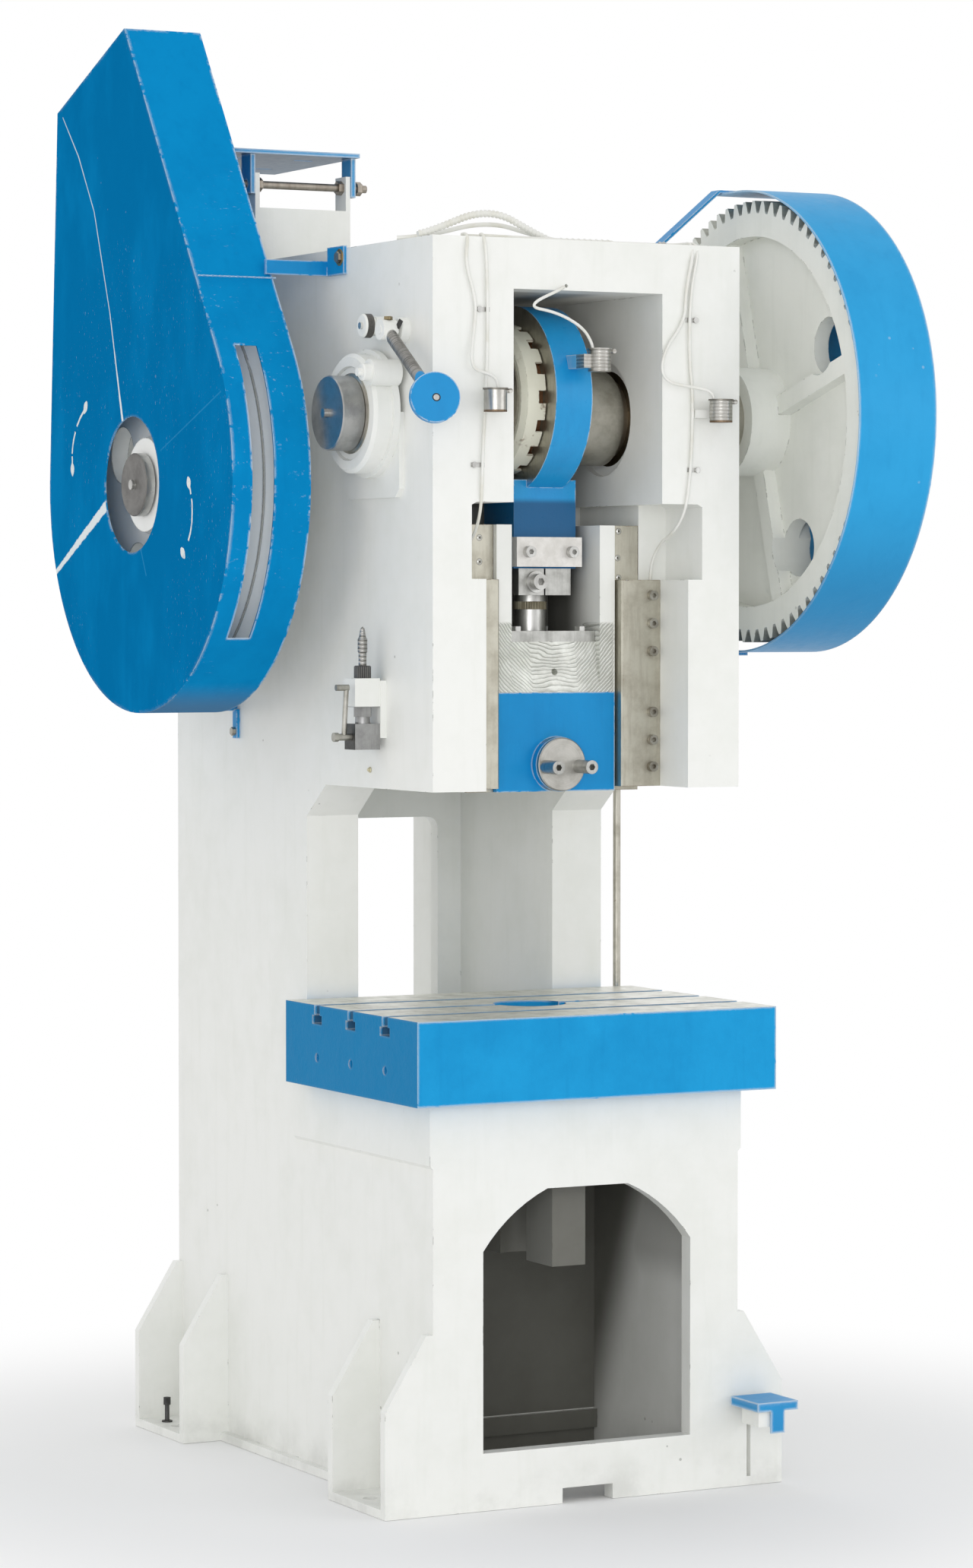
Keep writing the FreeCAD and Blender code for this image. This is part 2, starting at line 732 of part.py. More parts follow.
def bearing_flange_left():
    """Stepped white bearing cover on the left side, with the lug of the stop boss."""
    body = new_body("bearing_flange_left", (0, ram_y, crank_z))
    face = -side - flange_reach
    seat = -side - 9
    bore = journal + play
    spin(body, "cover", "X",
         (seat, bore), (seat, flange_base), (seat - flange_foot, flange_base),
         (seat - flange_foot, flange_radius), (face + 6, flange_radius),
         (face, flange_radius - 6), (face, flange_radius - 22), (face + 5, flange_radius - 24),
         (face + 5, bore))
    prism(body, "lug", "YZ_Plane", face - 9, seat - face + 9, circle(-98, 67, 23))
    prism(body, "cover_bore", "YZ_Plane", face - 9, flange_reach + 20, circle(0, 0, bore), cut=True)
    return body


def bearing_flange_right():
    bore = journal + play
    return turned("bearing_flange_right", "X", (0, ram_y, crank_z),
                  (side, bore), (side, flange_base), (side + flange_foot, flange_base),
                  (side + flange_foot, flange_radius), (side + 40, flange_radius),
                  (side + 46, flange_radius - 6), (side + 46, bore))


def bearing_flanges():
    return group("bearing_flanges", [bearing_flange_left(), bearing_flange_right()])


def crank_bushes():
    """Bronze bushes in the frame's two crank bores."""
    bushes = []
    bay = crank_bay / 2
    for name, start, length in (("left", -side - 8.5, side_wall + 26),
                                ("right", bay + boss_recess_depth + 1, side - bay - 14)):
        shell = rod(f"bush_{name}_shell", "X", (start, ram_y, crank_z),
                    journal + bush_wall - 0.05, length)
        bore = rod(f"bush_{name}_bore", "X", (start - 1, ram_y, crank_z),
                   journal + 0.08, length + 2)
        bushes.append(cut(f"bush_{name}", shell, bore))
    return group("crank_bushes", bushes)


def crankshaft():
    """Main shaft with shoulder, offset eccentric and retaining flange."""
    body = new_body("crankshaft", (0, ram_y, crank_z))
    left = -side - flange_reach
    spin(body, "shaft", "X",
         (left, 0), (left, journal - 8), (left + 3, journal), (-146, journal),
         (-144, shoulder), (-85, shoulder), (-85, journal), (140, journal), (hub_inner, journal),
         (hub_inner, gear_seat), (hub_outer, gear_seat), (hub_outer, 0))
    prism(body, "eccentric", "YZ_Plane", -86, 128, circle(0, throw, eccentric))
    prism(body, "retaining_flange", "YZ_Plane", 38, 21, circle(0, throw, retainer))
    prism(body, "bearing_collar", "YZ_Plane", 58, 85, circle(0, 0, journal + 14))
    prism(body, "left_centre", "YZ_Plane", left, 30, circle(0, 0, 9), cut=True)
    return body


def stroke_ring():
    """Dog-tooth ring that sets the stroke, on the eccentric beside the strap."""
    body = new_body("stroke_ring", (0, ram_y, strap_z))
    spin(body, "ring", "X", (-83, eccentric + 0.05), (-83, dog_radius - 9), (-74, dog_radius),
         (-38, dog_radius), (-38, eccentric + 0.05))
    notch = prism(body, "dog", "YZ_Plane", -52, 14.5,
                  rectangle(-11, eccentric + 5, 11, dog_radius + 2), cut=True)
    ring_pattern(body, notch, "X_Axis", dog_count)
    return body


def tooth_outline(teeth, module, backlash, phase):
    """Involute teeth of a spur gear, as corner points in the plane Y, Z.

    phase turns the gear: it is the angle of the middle of the first tooth."""
    pitch = module * teeth / 2
    base = pitch * math.cos(math.radians(20))
    tip = pitch + module
    root = pitch - 1.25 * module
    low = max(root, base + 0.01)
    half_pitch = math.pi / (2 * teeth) - backlash / (2 * pitch)
    involute = math.tan(math.radians(20)) - math.radians(20)

    def half_angle(at):
        pressure = math.acos(base / at)
        return half_pitch + involute - (math.tan(pressure) - pressure)

    flank = [low, (low + tip) / 2, tip] if low > root else [root, pitch, tip]
    corners = []
    for tooth in range(teeth):
        middle = phase + 2 * math.pi * tooth / teeth
        rising = [(at, middle - half_angle(at)) for at in flank]
        falling = [(at, middle + half_angle(at)) for at in reversed(flank)]
        if low > root:
            rising.insert(0, (root, middle - half_angle(low)))
            falling.append((root, middle + half_angle(low)))
        corners += rising + falling
    return [V(0, at * math.cos(turn), at * math.sin(turn)) for at, turn in corners]


def toothed_disc(label, teeth, backlash, phase, start, width):
    corners = tooth_outline(int(amount(teeth)), amount(gear_module), backlash, phase)
    outline = Part.makePolygon(corners + corners[:1])
    disc = doc.addObject("Part::Feature", label)
    disc.Shape = Part.Face(outline).extrude(V(amount(width), 0, 0))
    return place(disc, start)


def mesh_angle():
    """Direction from the crank's axis to the drive shaft's, in the plane Y, Z."""
    return math.atan2(-amount(shaft_drop), amount(drive_y - ram_y))


def drive_gear():
    """Big gear with rim, web, four ribs, hub and four round holes."""
    at = (gear_face, ram_y, crank_z)
    teeth = toothed_disc("gear_teeth_disc", gear_teeth, 0.5, mesh_angle(), at, gear_width)
    rim_inner = gear_module * (gear_teeth / 2 - 1.25) - rim_depth
    side_depth = (gear_width - gear_web) / 2
    hollows = []
    for name, start in (("inner", gear_face), ("outer", gear_face + side_depth + gear_web)):
        hollows.append(rod(f"gear_{name}_hollow", "X", (start, ram_y, crank_z), rim_inner,
                           side_depth))
    blank = cut("gear_blank", teeth, fuse("gear_hollows", hollows))
    hub = rod("gear_hub_boss", "X", (hub_inner, ram_y, crank_z), gear_hub, hub_outer - hub_inner)
    solids = [blank, hub]
    for number in range(2):
        bar = doc.addObject("Part::Box", f"gear_rib_{number}")
        drive(bar, "Length", gear_width - 10)
        drive(bar, "Width", rim_inner * 2 + 8)
        drive(bar, "Height", spoke)
        turn = FreeCAD.Rotation(V(1, 0, 0), 74 - 90 * number)
        reach = turn.multVec(V(0, -amount(rim_inner) - 4, -amount(spoke) / 2))
        bar.Placement = FreeCAD.Placement(V(0, reach.y, reach.z), turn)
        drive(bar, "Placement.Base.x", gear_face + 5)
        drive(bar, "Placement.Base.y", ram_y + reach.y)
        drive(bar, "Placement.Base.z", crank_z + reach.z)
        solids.append(bar)
    tools = [rod("gear_bore", "X", (hub_inner - 1, ram_y, crank_z), gear_seat + 0.05,
                 hub_outer - hub_inner + 2)]
    for number in range(4):
        turn = math.radians(29 + 90 * number)
        y = ram_y - web_hole_circle * math.cos(turn)
        z = crank_z + web_hole_circle * math.sin(turn)
        tools.append(rod(f"gear_hole_{number}", "X", (gear_face, y, z), web_hole, gear_width))
    gear = cut("drive_gear", fuse("gear_solid", solids), fuse("gear_openings", tools))
    return gear


def crank_end_disc():
    """Polished disc with a centre bolt on the shaft's left end."""
    face = -side - flange_reach - 0.3
    body = turned("crank_end_disc", "X", (0, ram_y, crank_z),
                  (face, 0), (face, end_disc), (face - end_disc_thick + 2, end_disc),
                  (face - end_disc_thick, end_disc - 2), (face - end_disc_thick, 0))
    bolt = prism(body, "disc_bolt", "YZ_Plane", face - end_disc_thick - 9, 10, circle(0, 0, 8))
    body.Tip = bolt
    return body


def gear_end_plate():
    return turned("gear_end_plate", "X", (hub_outer, ram_y, crank_z),
                  (0.2, 0), (0.2, end_plate), (10, end_plate), (13, end_plate - 3),
                  (13, gear_seat), (9, gear_seat - 4), (9, 14), (19, 14), (19, 0))


# ---------------------------------------------------------------- drive line

def drive_bearing(label, mirror):
    """Flanged housing of the drive shaft in the frame's side wall."""
    wall = side * mirror
    corners = [(wall - side_wall * mirror * 0.9, drive_radius + play),
               (wall - side_wall * mirror * 0.9, drive_radius + 14.95),
               (wall, drive_radius + 14.95), (wall + 0.2 * mirror, drive_housing),
               (wall + 16 * mirror, drive_housing), (wall + 20 * mirror, drive_housing - 4),
               (wall + 20 * mirror, drive_radius + play)]
    corners[2] = (wall + 0.2 * mirror, drive_radius + 14.95)
    return turned(label, "X", (0, drive_y, drive_z), *corners)


def drive_bearings():
    return group("drive_bearings", [drive_bearing("drive_bearing_left", -1),
                                    drive_bearing("drive_bearing_right", 1)])


def drive_shaft():
    left = wheel_face - 4
    right = gear_face + gear_width + 4
    return turned("drive_shaft", "X", (0, drive_y, drive_z),
                  (left, 0), (left, drive_seat - 2), (left + 2, drive_seat),
                  (-side - 62, drive_seat), (-side - 62, drive_radius),
                  (side + 46, drive_radius), (side + 46, drive_seat),
                  (right - 2, drive_seat), (right, drive_seat - 2), (right, 0))


def pinion():
    """Pinion in mesh with the big gear: one of its gaps faces the gear's first tooth."""
    teeth = int(amount(pinion_teeth))
    facing = mesh_angle() + math.pi
    phase = facing + math.pi / teeth
    at = (gear_face - 2, drive_y, drive_z)
    disc = toothed_disc("pinion_teeth_disc", pinion_teeth, 0.5, phase, at, gear_width + 4)
    start = side + 46.5
    hub = rod("pinion_hub", "X", (start, drive_y, drive_z), 62, gear_face - 2 - start)
    bore = rod("pinion_bore", "X", (side, drive_y, drive_z), drive_seat + 0.05, 300)
    return cut("pinion", fuse("pinion_solid", [disc, hub]), bore)


def flywheel():
    """Flywheel with two belt grooves, a narrow rim groove, web and long hub."""
    body = new_body("flywheel", (0, drive_y, drive_z))
    right = wheel_face + wheel_width
    web = wheel_face + (wheel_width - wheel_web) / 2
    inside = wheel_radius - wheel_rim
    bore = drive_seat + 0.05
    corners = [(wheel_face, bore), (wheel_face, wheel_hub), (web, wheel_hub + 10),
               (web, inside - 8), (wheel_face, inside), (wheel_face, wheel_radius)]
    for middle in (11, 30):
        corners += [(wheel_face + middle - 8, wheel_radius),
                    (wheel_face + middle - 4, wheel_radius - 14),
                    (wheel_face + middle + 4, wheel_radius - 14),
                    (wheel_face + middle + 8, wheel_radius)]
    corners += [(wheel_face + 69, wheel_radius), (wheel_face + 69, wheel_radius - 6),
                (wheel_face + 73, wheel_radius - 6), (wheel_face + 73, wheel_radius),
                (right, wheel_radius), (right, inside), (web + wheel_web, inside - 8),
                (web + wheel_web, wheel_hub + 10), (right + 30, wheel_hub), (right + 30, bore)]
    spin(body, "wheel", "X", *corners)
    hole = prism(body, "web_hole", "YZ_Plane", web, wheel_web,
                 circle(0, (inside + wheel_hub) / 2, 52), cut=True)
    ring_pattern(body, hole, "X_Axis", 5)
    return body


def flywheel_end_disc():
    face = wheel_face - 4.3
    return turned("flywheel_end_disc", "X", (0, drive_y, drive_z),
                  (face, 0), (face, wheel_disc), (face - 16, wheel_disc),
                  (face - 18, wheel_disc - 2), (face - 18, 9), (face - 24, 9), (face - 24, 0))


# ---------------------------------------------------------------- guards

def hollow(body, solid, label, skin, is_open):
    """Leaves a sheet shell of the last solid, open at the faces that is_open picks."""
    doc.recompute()
    names = [f"Face{number}" for number, face in enumerate(solid.Shape.Faces, 1) if is_open(face)]
    shell = body.newObject("PartDesign::Thickness", label)
    shell.Base = (solid, names)
    shell.Reversed = True
    shell.Mode = 0
    shell.Join = 1
    drive(shell, "Value", skin)
    body.Tip = shell
    return shell


def faces_along(direction):
    """Picks the flat faces whose outward normal is the given direction."""
    def picked(face):
        return face.Surface.isPlanar() and face.normalAt(0, 0).dot(direction) > 0.999
    return picked


def tangent_touch(centre_y, centre_z, size, y, z, turn):
    """Where a line from y, z touches a circle; turn picks one of the two sides."""
    away = math.hypot(y - centre_y, z - centre_z)
    lean = math.atan2(z - centre_z, y - centre_y) + turn * math.acos(size / away)
    return centre_y + size * math.cos(lean), centre_z + size * math.sin(lean)


def drop_outline(sketch):
    """Belt guard's face: a round foot, two tangents and a sloping top."""
    centre_y, centre_z = drive_y - guard_back, drive_z
    apex = (guard_apex_y, guard_apex)
    tail = (guard_corner_y, guard_corner)
    middle = (amount(centre_y), amount(centre_z))
    reach = amount(guard_radius)
    near = tangent_touch(*middle, reach, amount(apex[0]), amount(apex[1]), 1)
    far = tangent_touch(*middle, reach, amount(tail[0]), amount(tail[1]), -1)
    start = math.atan2(near[1] - middle[1], near[0] - middle[0])
    stop = math.atan2(far[1] - middle[1], far[0] - middle[0])
    ring = Part.Circle(V(*middle, 0), V(0, 0, 1), reach)
    arc = sketch.addGeometry(Part.ArcOfCircle(ring, start, stop + 2 * math.pi))
    tip = V(amount(apex[0]), amount(apex[1]), 0)
    end = V(amount(tail[0]), amount(tail[1]), 0)
    front_line = sketch.addGeometry(Part.LineSegment(tip, V(*near, 0)))
    back_line = sketch.addGeometry(Part.LineSegment(V(*far, 0), end))
    top_line = sketch.addGeometry(Part.LineSegment(end, tip))
    sketch.addConstraint(Sketcher.Constraint("Tangent", front_line, 2, arc, 1))
    sketch.addConstraint(Sketcher.Constraint("Tangent", arc, 2, back_line, 1))
    sketch.addConstraint(Sketcher.Constraint("Coincident", back_line, 2, top_line, 1))
    sketch.addConstraint(Sketcher.Constraint("Coincident", top_line, 2, front_line, 1))
    pin(sketch, arc, 3, centre_y, centre_z)
    radius(sketch, arc, guard_radius)
    pin(sketch, front_line, 1, *apex)
    pin(sketch, top_line, 1, *tail)


def belt_guard():
    """Sheet-metal belt guard, open towards the frame, with hub hole and rim slot."""
    body = new_body("belt_guard")
    solid = prism(body, "drop", "YZ_Plane", guard_face, guard_depth, drop_outline)
    hollow(body, solid, "sheet", guard_skin, faces_along(V(1, 0, 0)))
    prism(body, "hub_hole", "YZ_Plane", guard_face, guard_skin + 1,
          circle(drive_y, drive_z, guard_hole), cut=True)
    prism(body, "rim_slot", "XY_Plane", guard_slot_bottom, guard_slot_top - guard_slot_bottom,
          rectangle(guard_face + 38, drive_y - guard_back - guard_radius - 5,
                    guard_face + 80, drive_y - guard_back - guard_radius * 0.7), cut=True)
    return body


def guard_straps():
    """Two flat straps with ears that hold the belt guard to the frame's left side."""
    straps = []
    rim_edge = guard_face + guard_depth
    reach = -side - rim_edge
    for name, y, z, ear_y, ear_z, ear_depth, ear_height in (
            ("upper", drive_y - 283, drive_z + 366, drive_y - 349, drive_z + 366, 66, 50),
            ("lower", drive_y + 116, drive_z - 413, drive_y + 106, drive_z - 464, 18, 54)):
        bar = block(f"strap_{name}_bar", (rim_edge - 14, y, z), reach + 14, 6, 26)
        ear = block(f"strap_{name}_ear", (-side - 7, ear_y, ear_z), 7, ear_depth, ear_height)
        straps.append(fuse(f"strap_{name}", [bar, ear]))
    return group("guard_straps", straps)


def guard_bolts():
    bolts = [hexagon("bolt_upper", "X", (-side - 14, drive_y - 334, drive_z + 396), 10, 7),
             hexagon("bolt_lower", "X", (-side - 14, drive_y + 115, drive_z - 451), 8, 7)]
    return group("guard_bolts", bolts)


def gear_guard():
    """Half-round sheet guard round the gear's front, closed on the outside."""
    body = new_body("gear_guard")
    reach = gear_guard_radius
    tail = ram_y + gear_guard_tail
    solid = prism(body, "half_round", "YZ_Plane", gear_guard_face, gear_guard_depth, loop(
        (ram_y, crank_z - reach), (tail, crank_z - reach), (tail, crank_z + reach),
        (ram_y, crank_z + reach, reach * 1.000001), (ram_y - reach, crank_z, reach * 1.000001)))
    inward, rearward = faces_along(V(-1, 0, 0)), faces_along(V(0, 1, 0))
    hollow(body, solid, "band", guard_skin, lambda face: inward(face) or rearward(face))
    prism(body, "end_hole", "YZ_Plane", gear_guard_face + gear_guard_depth - guard_skin,
          guard_skin, circle(ram_y, crank_z, 110), cut=True)
    return body


def gear_guard_brace():
    """Flat bar from the guard's top edge down to the head, and a lower bracket."""
    y = ram_y + gear_guard_tail - 34
    guard_top = crank_z + gear_guard_radius
    edge = gear_guard_face + 8
    body = new_body("gear_guard_brace")
    prism(body, "brace", "XZ_Plane", y, 28, loop(
        (side - 60, head_top), (side - 20, head_top), (side - 20, head_top + 5),
        (edge - 12, guard_top), (edge + 32, guard_top), (edge + 32, guard_top + 5),
        (edge - 15, guard_top + 5), (side - 24, head_top + 9), (side - 60, head_top + 9)))
    return body


def gear_guard_bracket():
    """Angle on the frame's right side that carries the gear guard's foot."""
    z = crank_z - gear_guard_radius
    y = ram_y + gear_guard_tail - 60
    foot = block("foot_bar", (side, y, z - 6), gear_guard_face - side + 40, 40, 6)
    pad = block("foot_pad", (side, y, z - 46), 8, 40, 46)
    return fuse("gear_guard_bracket", [foot, pad])


def gear_guard_stays():
    return group("gear_guard_stays", [gear_guard_brace(), gear_guard_bracket()])


# ---------------------------------------------------------------- connecting rod

def connecting_rod():
    """Strap round the eccentric, with the square foot that holds the ball screw."""
    body = new_body("connecting_rod", (0, ram_y, 0))
    prism(body, "foot", "XY_Plane", rod_foot, rod_head - rod_foot,
          rectangle(-rod_width / 2, -rod_depth / 2, rod_width / 2, rod_depth / 2))
    prism(body, "strap", "YZ_Plane", -strap_width / 2, strap_width,
          circle(0, strap_z, strap_radius))
    prism(body, "big_end", "YZ_Plane", -rod_width / 2, rod_width,
          circle(0, strap_z, eccentric + play), cut=True)
    prism(body, "screw_bore", "XY_Plane", rod_foot, screw_top - rod_foot + 5,
          circle(0, 0, screw_radius + play), cut=True)
    return body


def rod_clamp_plate():
    z = rod_foot + 3
    half = clamp_plate_width / 2
    body = new_body("rod_clamp_plate")
    prism(body, "plate", "XZ_Plane", rod_front - clamp_plate_thick, clamp_plate_thick,
          rectangle(-half, z, half, z + clamp_plate_height))
    return body


def lock_block():
    """Split block under the rod that pinches the screw."""
    body = new_body("lock_block", (0, ram_y, 0))
    prism(body, "block", "XY_Plane", rod_foot - lock_height, lock_height,
          rectangle(-lock_width / 2, -rod_depth / 2, lock_width / 2, rod_depth / 2))
    prism(body, "bore", "XY_Plane", rod_foot - lock_height, lock_height,
          circle(0, 0, screw_radius + play), cut=True)
    prism(body, "split", "XY_Plane", rod_foot - lock_height, lock_height,
          rectangle(-1.5, -rod_depth / 2, 1.5, 0), cut=True)
    return body


def rod_bolts():
    """Two clamp-plate bolts and the lock block's bigger bolt with its washer."""
    bolts = []
    face = rod_front - clamp_plate_thick
    z = rod_foot + 3 + clamp_plate_height / 2
    for name, x in (("left", -43), ("right", 43)):
        bolts.append(socket_screw(f"clamp_bolt_{name}", "Y", (x, face - 13, z), 10.0, 13.0,
                                  (x, face - 13, z)))
    low = rod_foot - lock_height / 2
    washer = rod("lock_washer", "Y", (-18, rod_front - 4, low), 19, 4)
    head = socket_screw("lock_bolt", "Y", (-18, rod_front - 20, low), 14.0, 16.0,
                        (-18, rod_front - 20, low))
    bolts.append(fuse("lock_bolt_set", [washer, head]))
    return group("rod_bolts", bolts)


def ball_screw():
    """Shut-height screw: threaded stem, plain collar, neck and ball end."""
    r = screw_radius
    return turned("ball_screw", "Z", (0, ram_y, 0),
                  (screw_top, 0), (screw_top, r - 3), (screw_top - 3, r),
                  (ball_z + 40, r), (ball_z + 32, r - 8), (ball_z + 21, r - 8),
                  (ball_z + 15, r - 4.5, r * 1.02), (ball_z - 15, r - 4.5),
                  (ball_z - 27, 8), (ball_z - 27, 0))


def ratchet_ring():
    """Knurled ring that turns the screw."""
    body = new_body("ratchet_ring", (0, ram_y, ratchet_z))
    spin(body, "ring", "Z", (0, screw_radius + 0.05), (0, ratchet_radius + 0.4),
         (ratchet_height, ratchet_radius + 0.4), (ratchet_height, screw_radius + 0.05))
    return body


# ---------------------------------------------------------------- slide

def slide_casting():
    """Slide with flanges in the way, open rod bay between two arms and ball well."""
    body = new_body("slide_casting", (0, ram_y, 0))
    half, flange = slide_width / 2, slideway_width / 2
    flange_y = -gib_plane + 0.3 + wear_strip
    height = slide_top - slide_bottom
    prism(body, "column", "XY_Plane", slide_bottom, height,
          rectangle(-half, -slide_front, half, slide_back))
    prism(body, "flanges", "XY_Plane", slide_bottom, height,
          rectangle(-flange, flange_y, flange, slide_back))
    arm = half - slide_arm
    floor = slide_sill - cap_thick
    prism(body, "rod_bay", "XY_Plane", floor, slide_top - floor,
          rectangle(-arm, -slide_front, arm, slide_back - slide_wall), cut=True)
    clamp_top = slide_bottom + clamp_height
    prism(body, "clamp_seat", "XY_Plane", slide_bottom, clamp_height + 0.2,
          rectangle(-half, -slide_front, half, 0), cut=True)
    prism(body, "slope", "YZ_Plane", -arm, arm * 2, loop(
        (-slide_front, clamp_top + 7), (-slide_front, floor), (-slide_front + 16, floor)),
        cut=True)
    prism(body, "ball_well", "XY_Plane", well_floor, floor - well_floor,
          rectangle(-cap_slot, -cap_slot - cap_travel, cap_slot, cap_slot + cap_travel),
          cut=True)
    prism(body, "shank_hole", "XY_Plane", slide_bottom, shank_depth,
          circle(0, 0, shank_radius), cut=True)
    prism(body, "tapped_hole", "XZ_Plane", -slide_front, 25, circle(0, clamp_top + 36, 6),
          cut=True)
    return body


def wear_strips():
    """Steel strips on the slide's flanges, behind the gibs."""
    strips = []
    y = gib_y + 0.3
    width = slideway_width / 2 - slide_width / 2 - 2
    for name, x in (("left", -slideway_width / 2 + 1), ("right", slide_width / 2 + 1)):
        strips.append(block(f"strip_{name}", (x, y, slide_bottom), width, wear_strip,
                            slide_top - slide_bottom))
    return group("wear_strips", strips)


def ball_cap_plate():
    """Plate on the slide's sill with the slot that the screw passes through."""
    body = new_body("ball_cap_plate", (0, ram_y, 0))
    arm = slide_width / 2 - slide_arm - 1
    low = slide_sill - cap_thick
    prism(body, "cap", "XY_Plane", low, cap_thick,
          rectangle(-arm, -slide_front + 17, arm, slide_back - slide_wall - 1))
    prism(body, "cap_slot", "XY_Plane", low, cap_thick,
          rectangle(-cap_slot, -cap_slot - cap_travel, cap_slot, cap_slot + cap_travel),
          cut=True)
    return body


def cap_bolts():
    bolts = []
    for x in (-64, 64):
        for y in (-68, 68):
            bolts.append(hexagon(f"cap_bolt_{x}_{y}".replace("-", "m"), "Z",
                                 (x, ram_y + y, slide_sill), 10, 8))
    return group("cap_bolts", bolts)


def clamp_block():
    """Front half of the shank clamp, with the round boss for its disc."""
    body = new_body("clamp_block", (0, ram_y, 0))
    half = slide_width / 2
    face = -slide_front
    prism(body, "half_block", "XY_Plane", slide_bottom, clamp_height,
          rectangle(-half, face, half, -0.5))
    centre = slide_bottom + clamp_boss
    prism(body, "boss", "XZ_Plane", face - clamp_boss_reach, clamp_boss_reach + 1,
          circle(0, centre, clamp_boss))
    prism(body, "shank_half", "XY_Plane", slide_bottom, shank_depth,
          circle(0, 0, shank_radius), cut=True)
    prism(body, "well_half", "XY_Plane", well_floor, slide_bottom + clamp_height - well_floor,
          rectangle(-cap_slot, -cap_slot - cap_travel, cap_slot, 0), cut=True)
    return body


def clamp_disc():
    """Bare steel disc on the clamp block's boss."""
    start = -slide_front - clamp_boss_reach - clamp_disc_thick
    return turned("clamp_disc", "Y", (0, ram_y, slide_bottom + clamp_boss),
                  (start, 0), (start, clamp_boss - 3), (start + 2, clamp_boss - 1),
                  (start + clamp_disc_thick, clamp_boss - 1), (start + clamp_disc_thick, 0))


def clamp_studs():
    """Two long studs that clamp a die shank."""
    studs = []
    face = ram_y - slide_front - clamp_boss_reach - clamp_disc_thick
    z = slide_bottom + clamp_boss - 4
    for name, x in (("left", -33), ("right", 33)):
        studs.append(socket_screw(f"clamp_stud_{name}", "Y", (x, face - 48, z), 12.0, 48.0,
                                  (x, face - 60, z)))
    return group("clamp_studs", studs)


# ---------------------------------------------------------------- motor bracket and plate

def motor_bracket():
    """White box on the head with two ears for the hinge rod."""
    width = bracket_right - bracket_left
    top = head_top + bracket_height
    case = block("bracket_case", (bracket_left, bracket_y, head_top), width, 50, bracket_height)
    ears = []
    for name, x in (("left", bracket_left), ("right", bracket_right - 9)):
        ears.append(block(f"bracket_ear_{name}", (x, bracket_y, top), 9, 44,
                          hinge_z - top + 20))
    hole = rod("bracket_hole", "X", (bracket_left - 1, hinge_y, hinge_z),
               hinge_rod_radius + 0.02, width + 2)
    return cut("motor_bracket", fuse("bracket_solid", [case] + ears), hole)


def hinge_rod():
    start = bracket_left - 22
    length = bracket_right - bracket_left + 62
    return keep_label(rod("hinge_rod", "X", (start, hinge_y, hinge_z), hinge_rod_radius, length))


def keep_label(piece):
    piece.Label = piece.Name
    return piece


def hinge_nuts():
    """Nuts that lock the hinge rod to the bracket's ears."""
    nuts = []
    for name, x in (("left", bracket_left + 9.3), ("right", bracket_right - 19.3),
                    ("outer", bracket_right + 19)):
        nut = hexagon(f"nut_{name}", "X", (x, hinge_y, hinge_z), 13, 10)
        hole = rod(f"nut_{name}_hole", "X", (x - 1, hinge_y, hinge_z), hinge_rod_radius + 0.02, 12)
        nuts.append(cut(f"hinge_nut_{name}", nut, hole))
    return group("hinge_nuts", nuts)


def motor_plate():
    """Empty motor plate that tilts on the hinge rod."""
    width = plate_right - plate_left
    plate = block("plate_sheet", (plate_left, plate_front, plate_z), width, plate_depth,
                  plate_thick)
    ears = []
    for name, x in (("left", bracket_left - 10), ("right", bracket_right + 1)):
        ears.append(block(f"plate_ear_{name}", (x, hinge_y - 20, hinge_z - 18), 9, 40,
                          plate_z - hinge_z + 19))
    tools = [rod("plate_ear_bore", "X", (plate_left, hinge_y, hinge_z), hinge_rod_radius + play,
                 width),
             block("plate_stud_slot", (stud_x - 12, stud_y - 25, plate_z - 1), 24, 50,
                   plate_thick + 2)]
    for across in (-0.5, 0.5):
        for along in (-0.5, 0.5):
            x = (plate_left + plate_right) / 2 + motor_pitch_x * across
            y = plate_front + plate_depth / 2 + motor_pitch_y * along
            name = f"motor_slot_{len(tools)}"
            bottom, height = plate_z - 1, plate_thick + 2
            tools.append(block(name, (x - motor_slot, y - motor_slot_radius, bottom),
                               motor_slot * 2, motor_slot_radius * 2, height))
            for end in (-motor_slot, motor_slot):
                tools.append(rod(f"{name}_{len(tools)}", "Z", (x + end, y, bottom),
                                 motor_slot_radius, height))
    solid = fuse("plate_solid", [plate] + ears)
    return cut("motor_plate", solid, fuse("plate_openings", tools))


def tension_stud():
    """Threaded stud on the head that sets the plate's tilt."""
    return keep_label(rod("tension_stud", "Z", (stud_x, stud_y, head_top), 8,
                          plate_z - head_top + 62))


def tension_nuts():
    """Nuts and washers above and below the plate; they tilt with it."""
    nuts = []
    for name, z in (("lower", plate_z - 17.2), ("upper", plate_z + plate_thick + 0.2)):
        washer_z = z + 13 if name == "lower" else z
        nut_z = z if name == "lower" else z + 4
        nut = hexagon(f"tension_nut_{name}", "Z", (stud_x, stud_y, nut_z), 15, 13)
        washer = block(f"tension_washer_{name}", (stud_x - 19, stud_y - 32, washer_z), 38, 64, 4)
        hole = rod(f"tension_hole_{name}", "Z", (stud_x, stud_y, z - 1), 10.5, 20)
        nuts.append(cut(f"tension_set_{name}", fuse(f"tension_pair_{name}", [nut, washer]), hole))
    return group("tension_nuts", nuts)


# ---------------------------------------------------------------- left side controls

def stop_boss():
    """Small stepped cap with its screw on the bearing cover's lug."""
    x = -side - flange_reach - 9
    return turned("stop_boss", "X", (0, ram_y - 98, crank_z + 67),
                  (x, 0), (x, 15), (x - 13, 15), (x - 15, 13), (x - 15, 7), (x - 23, 7),
                  (x - 23, 0))


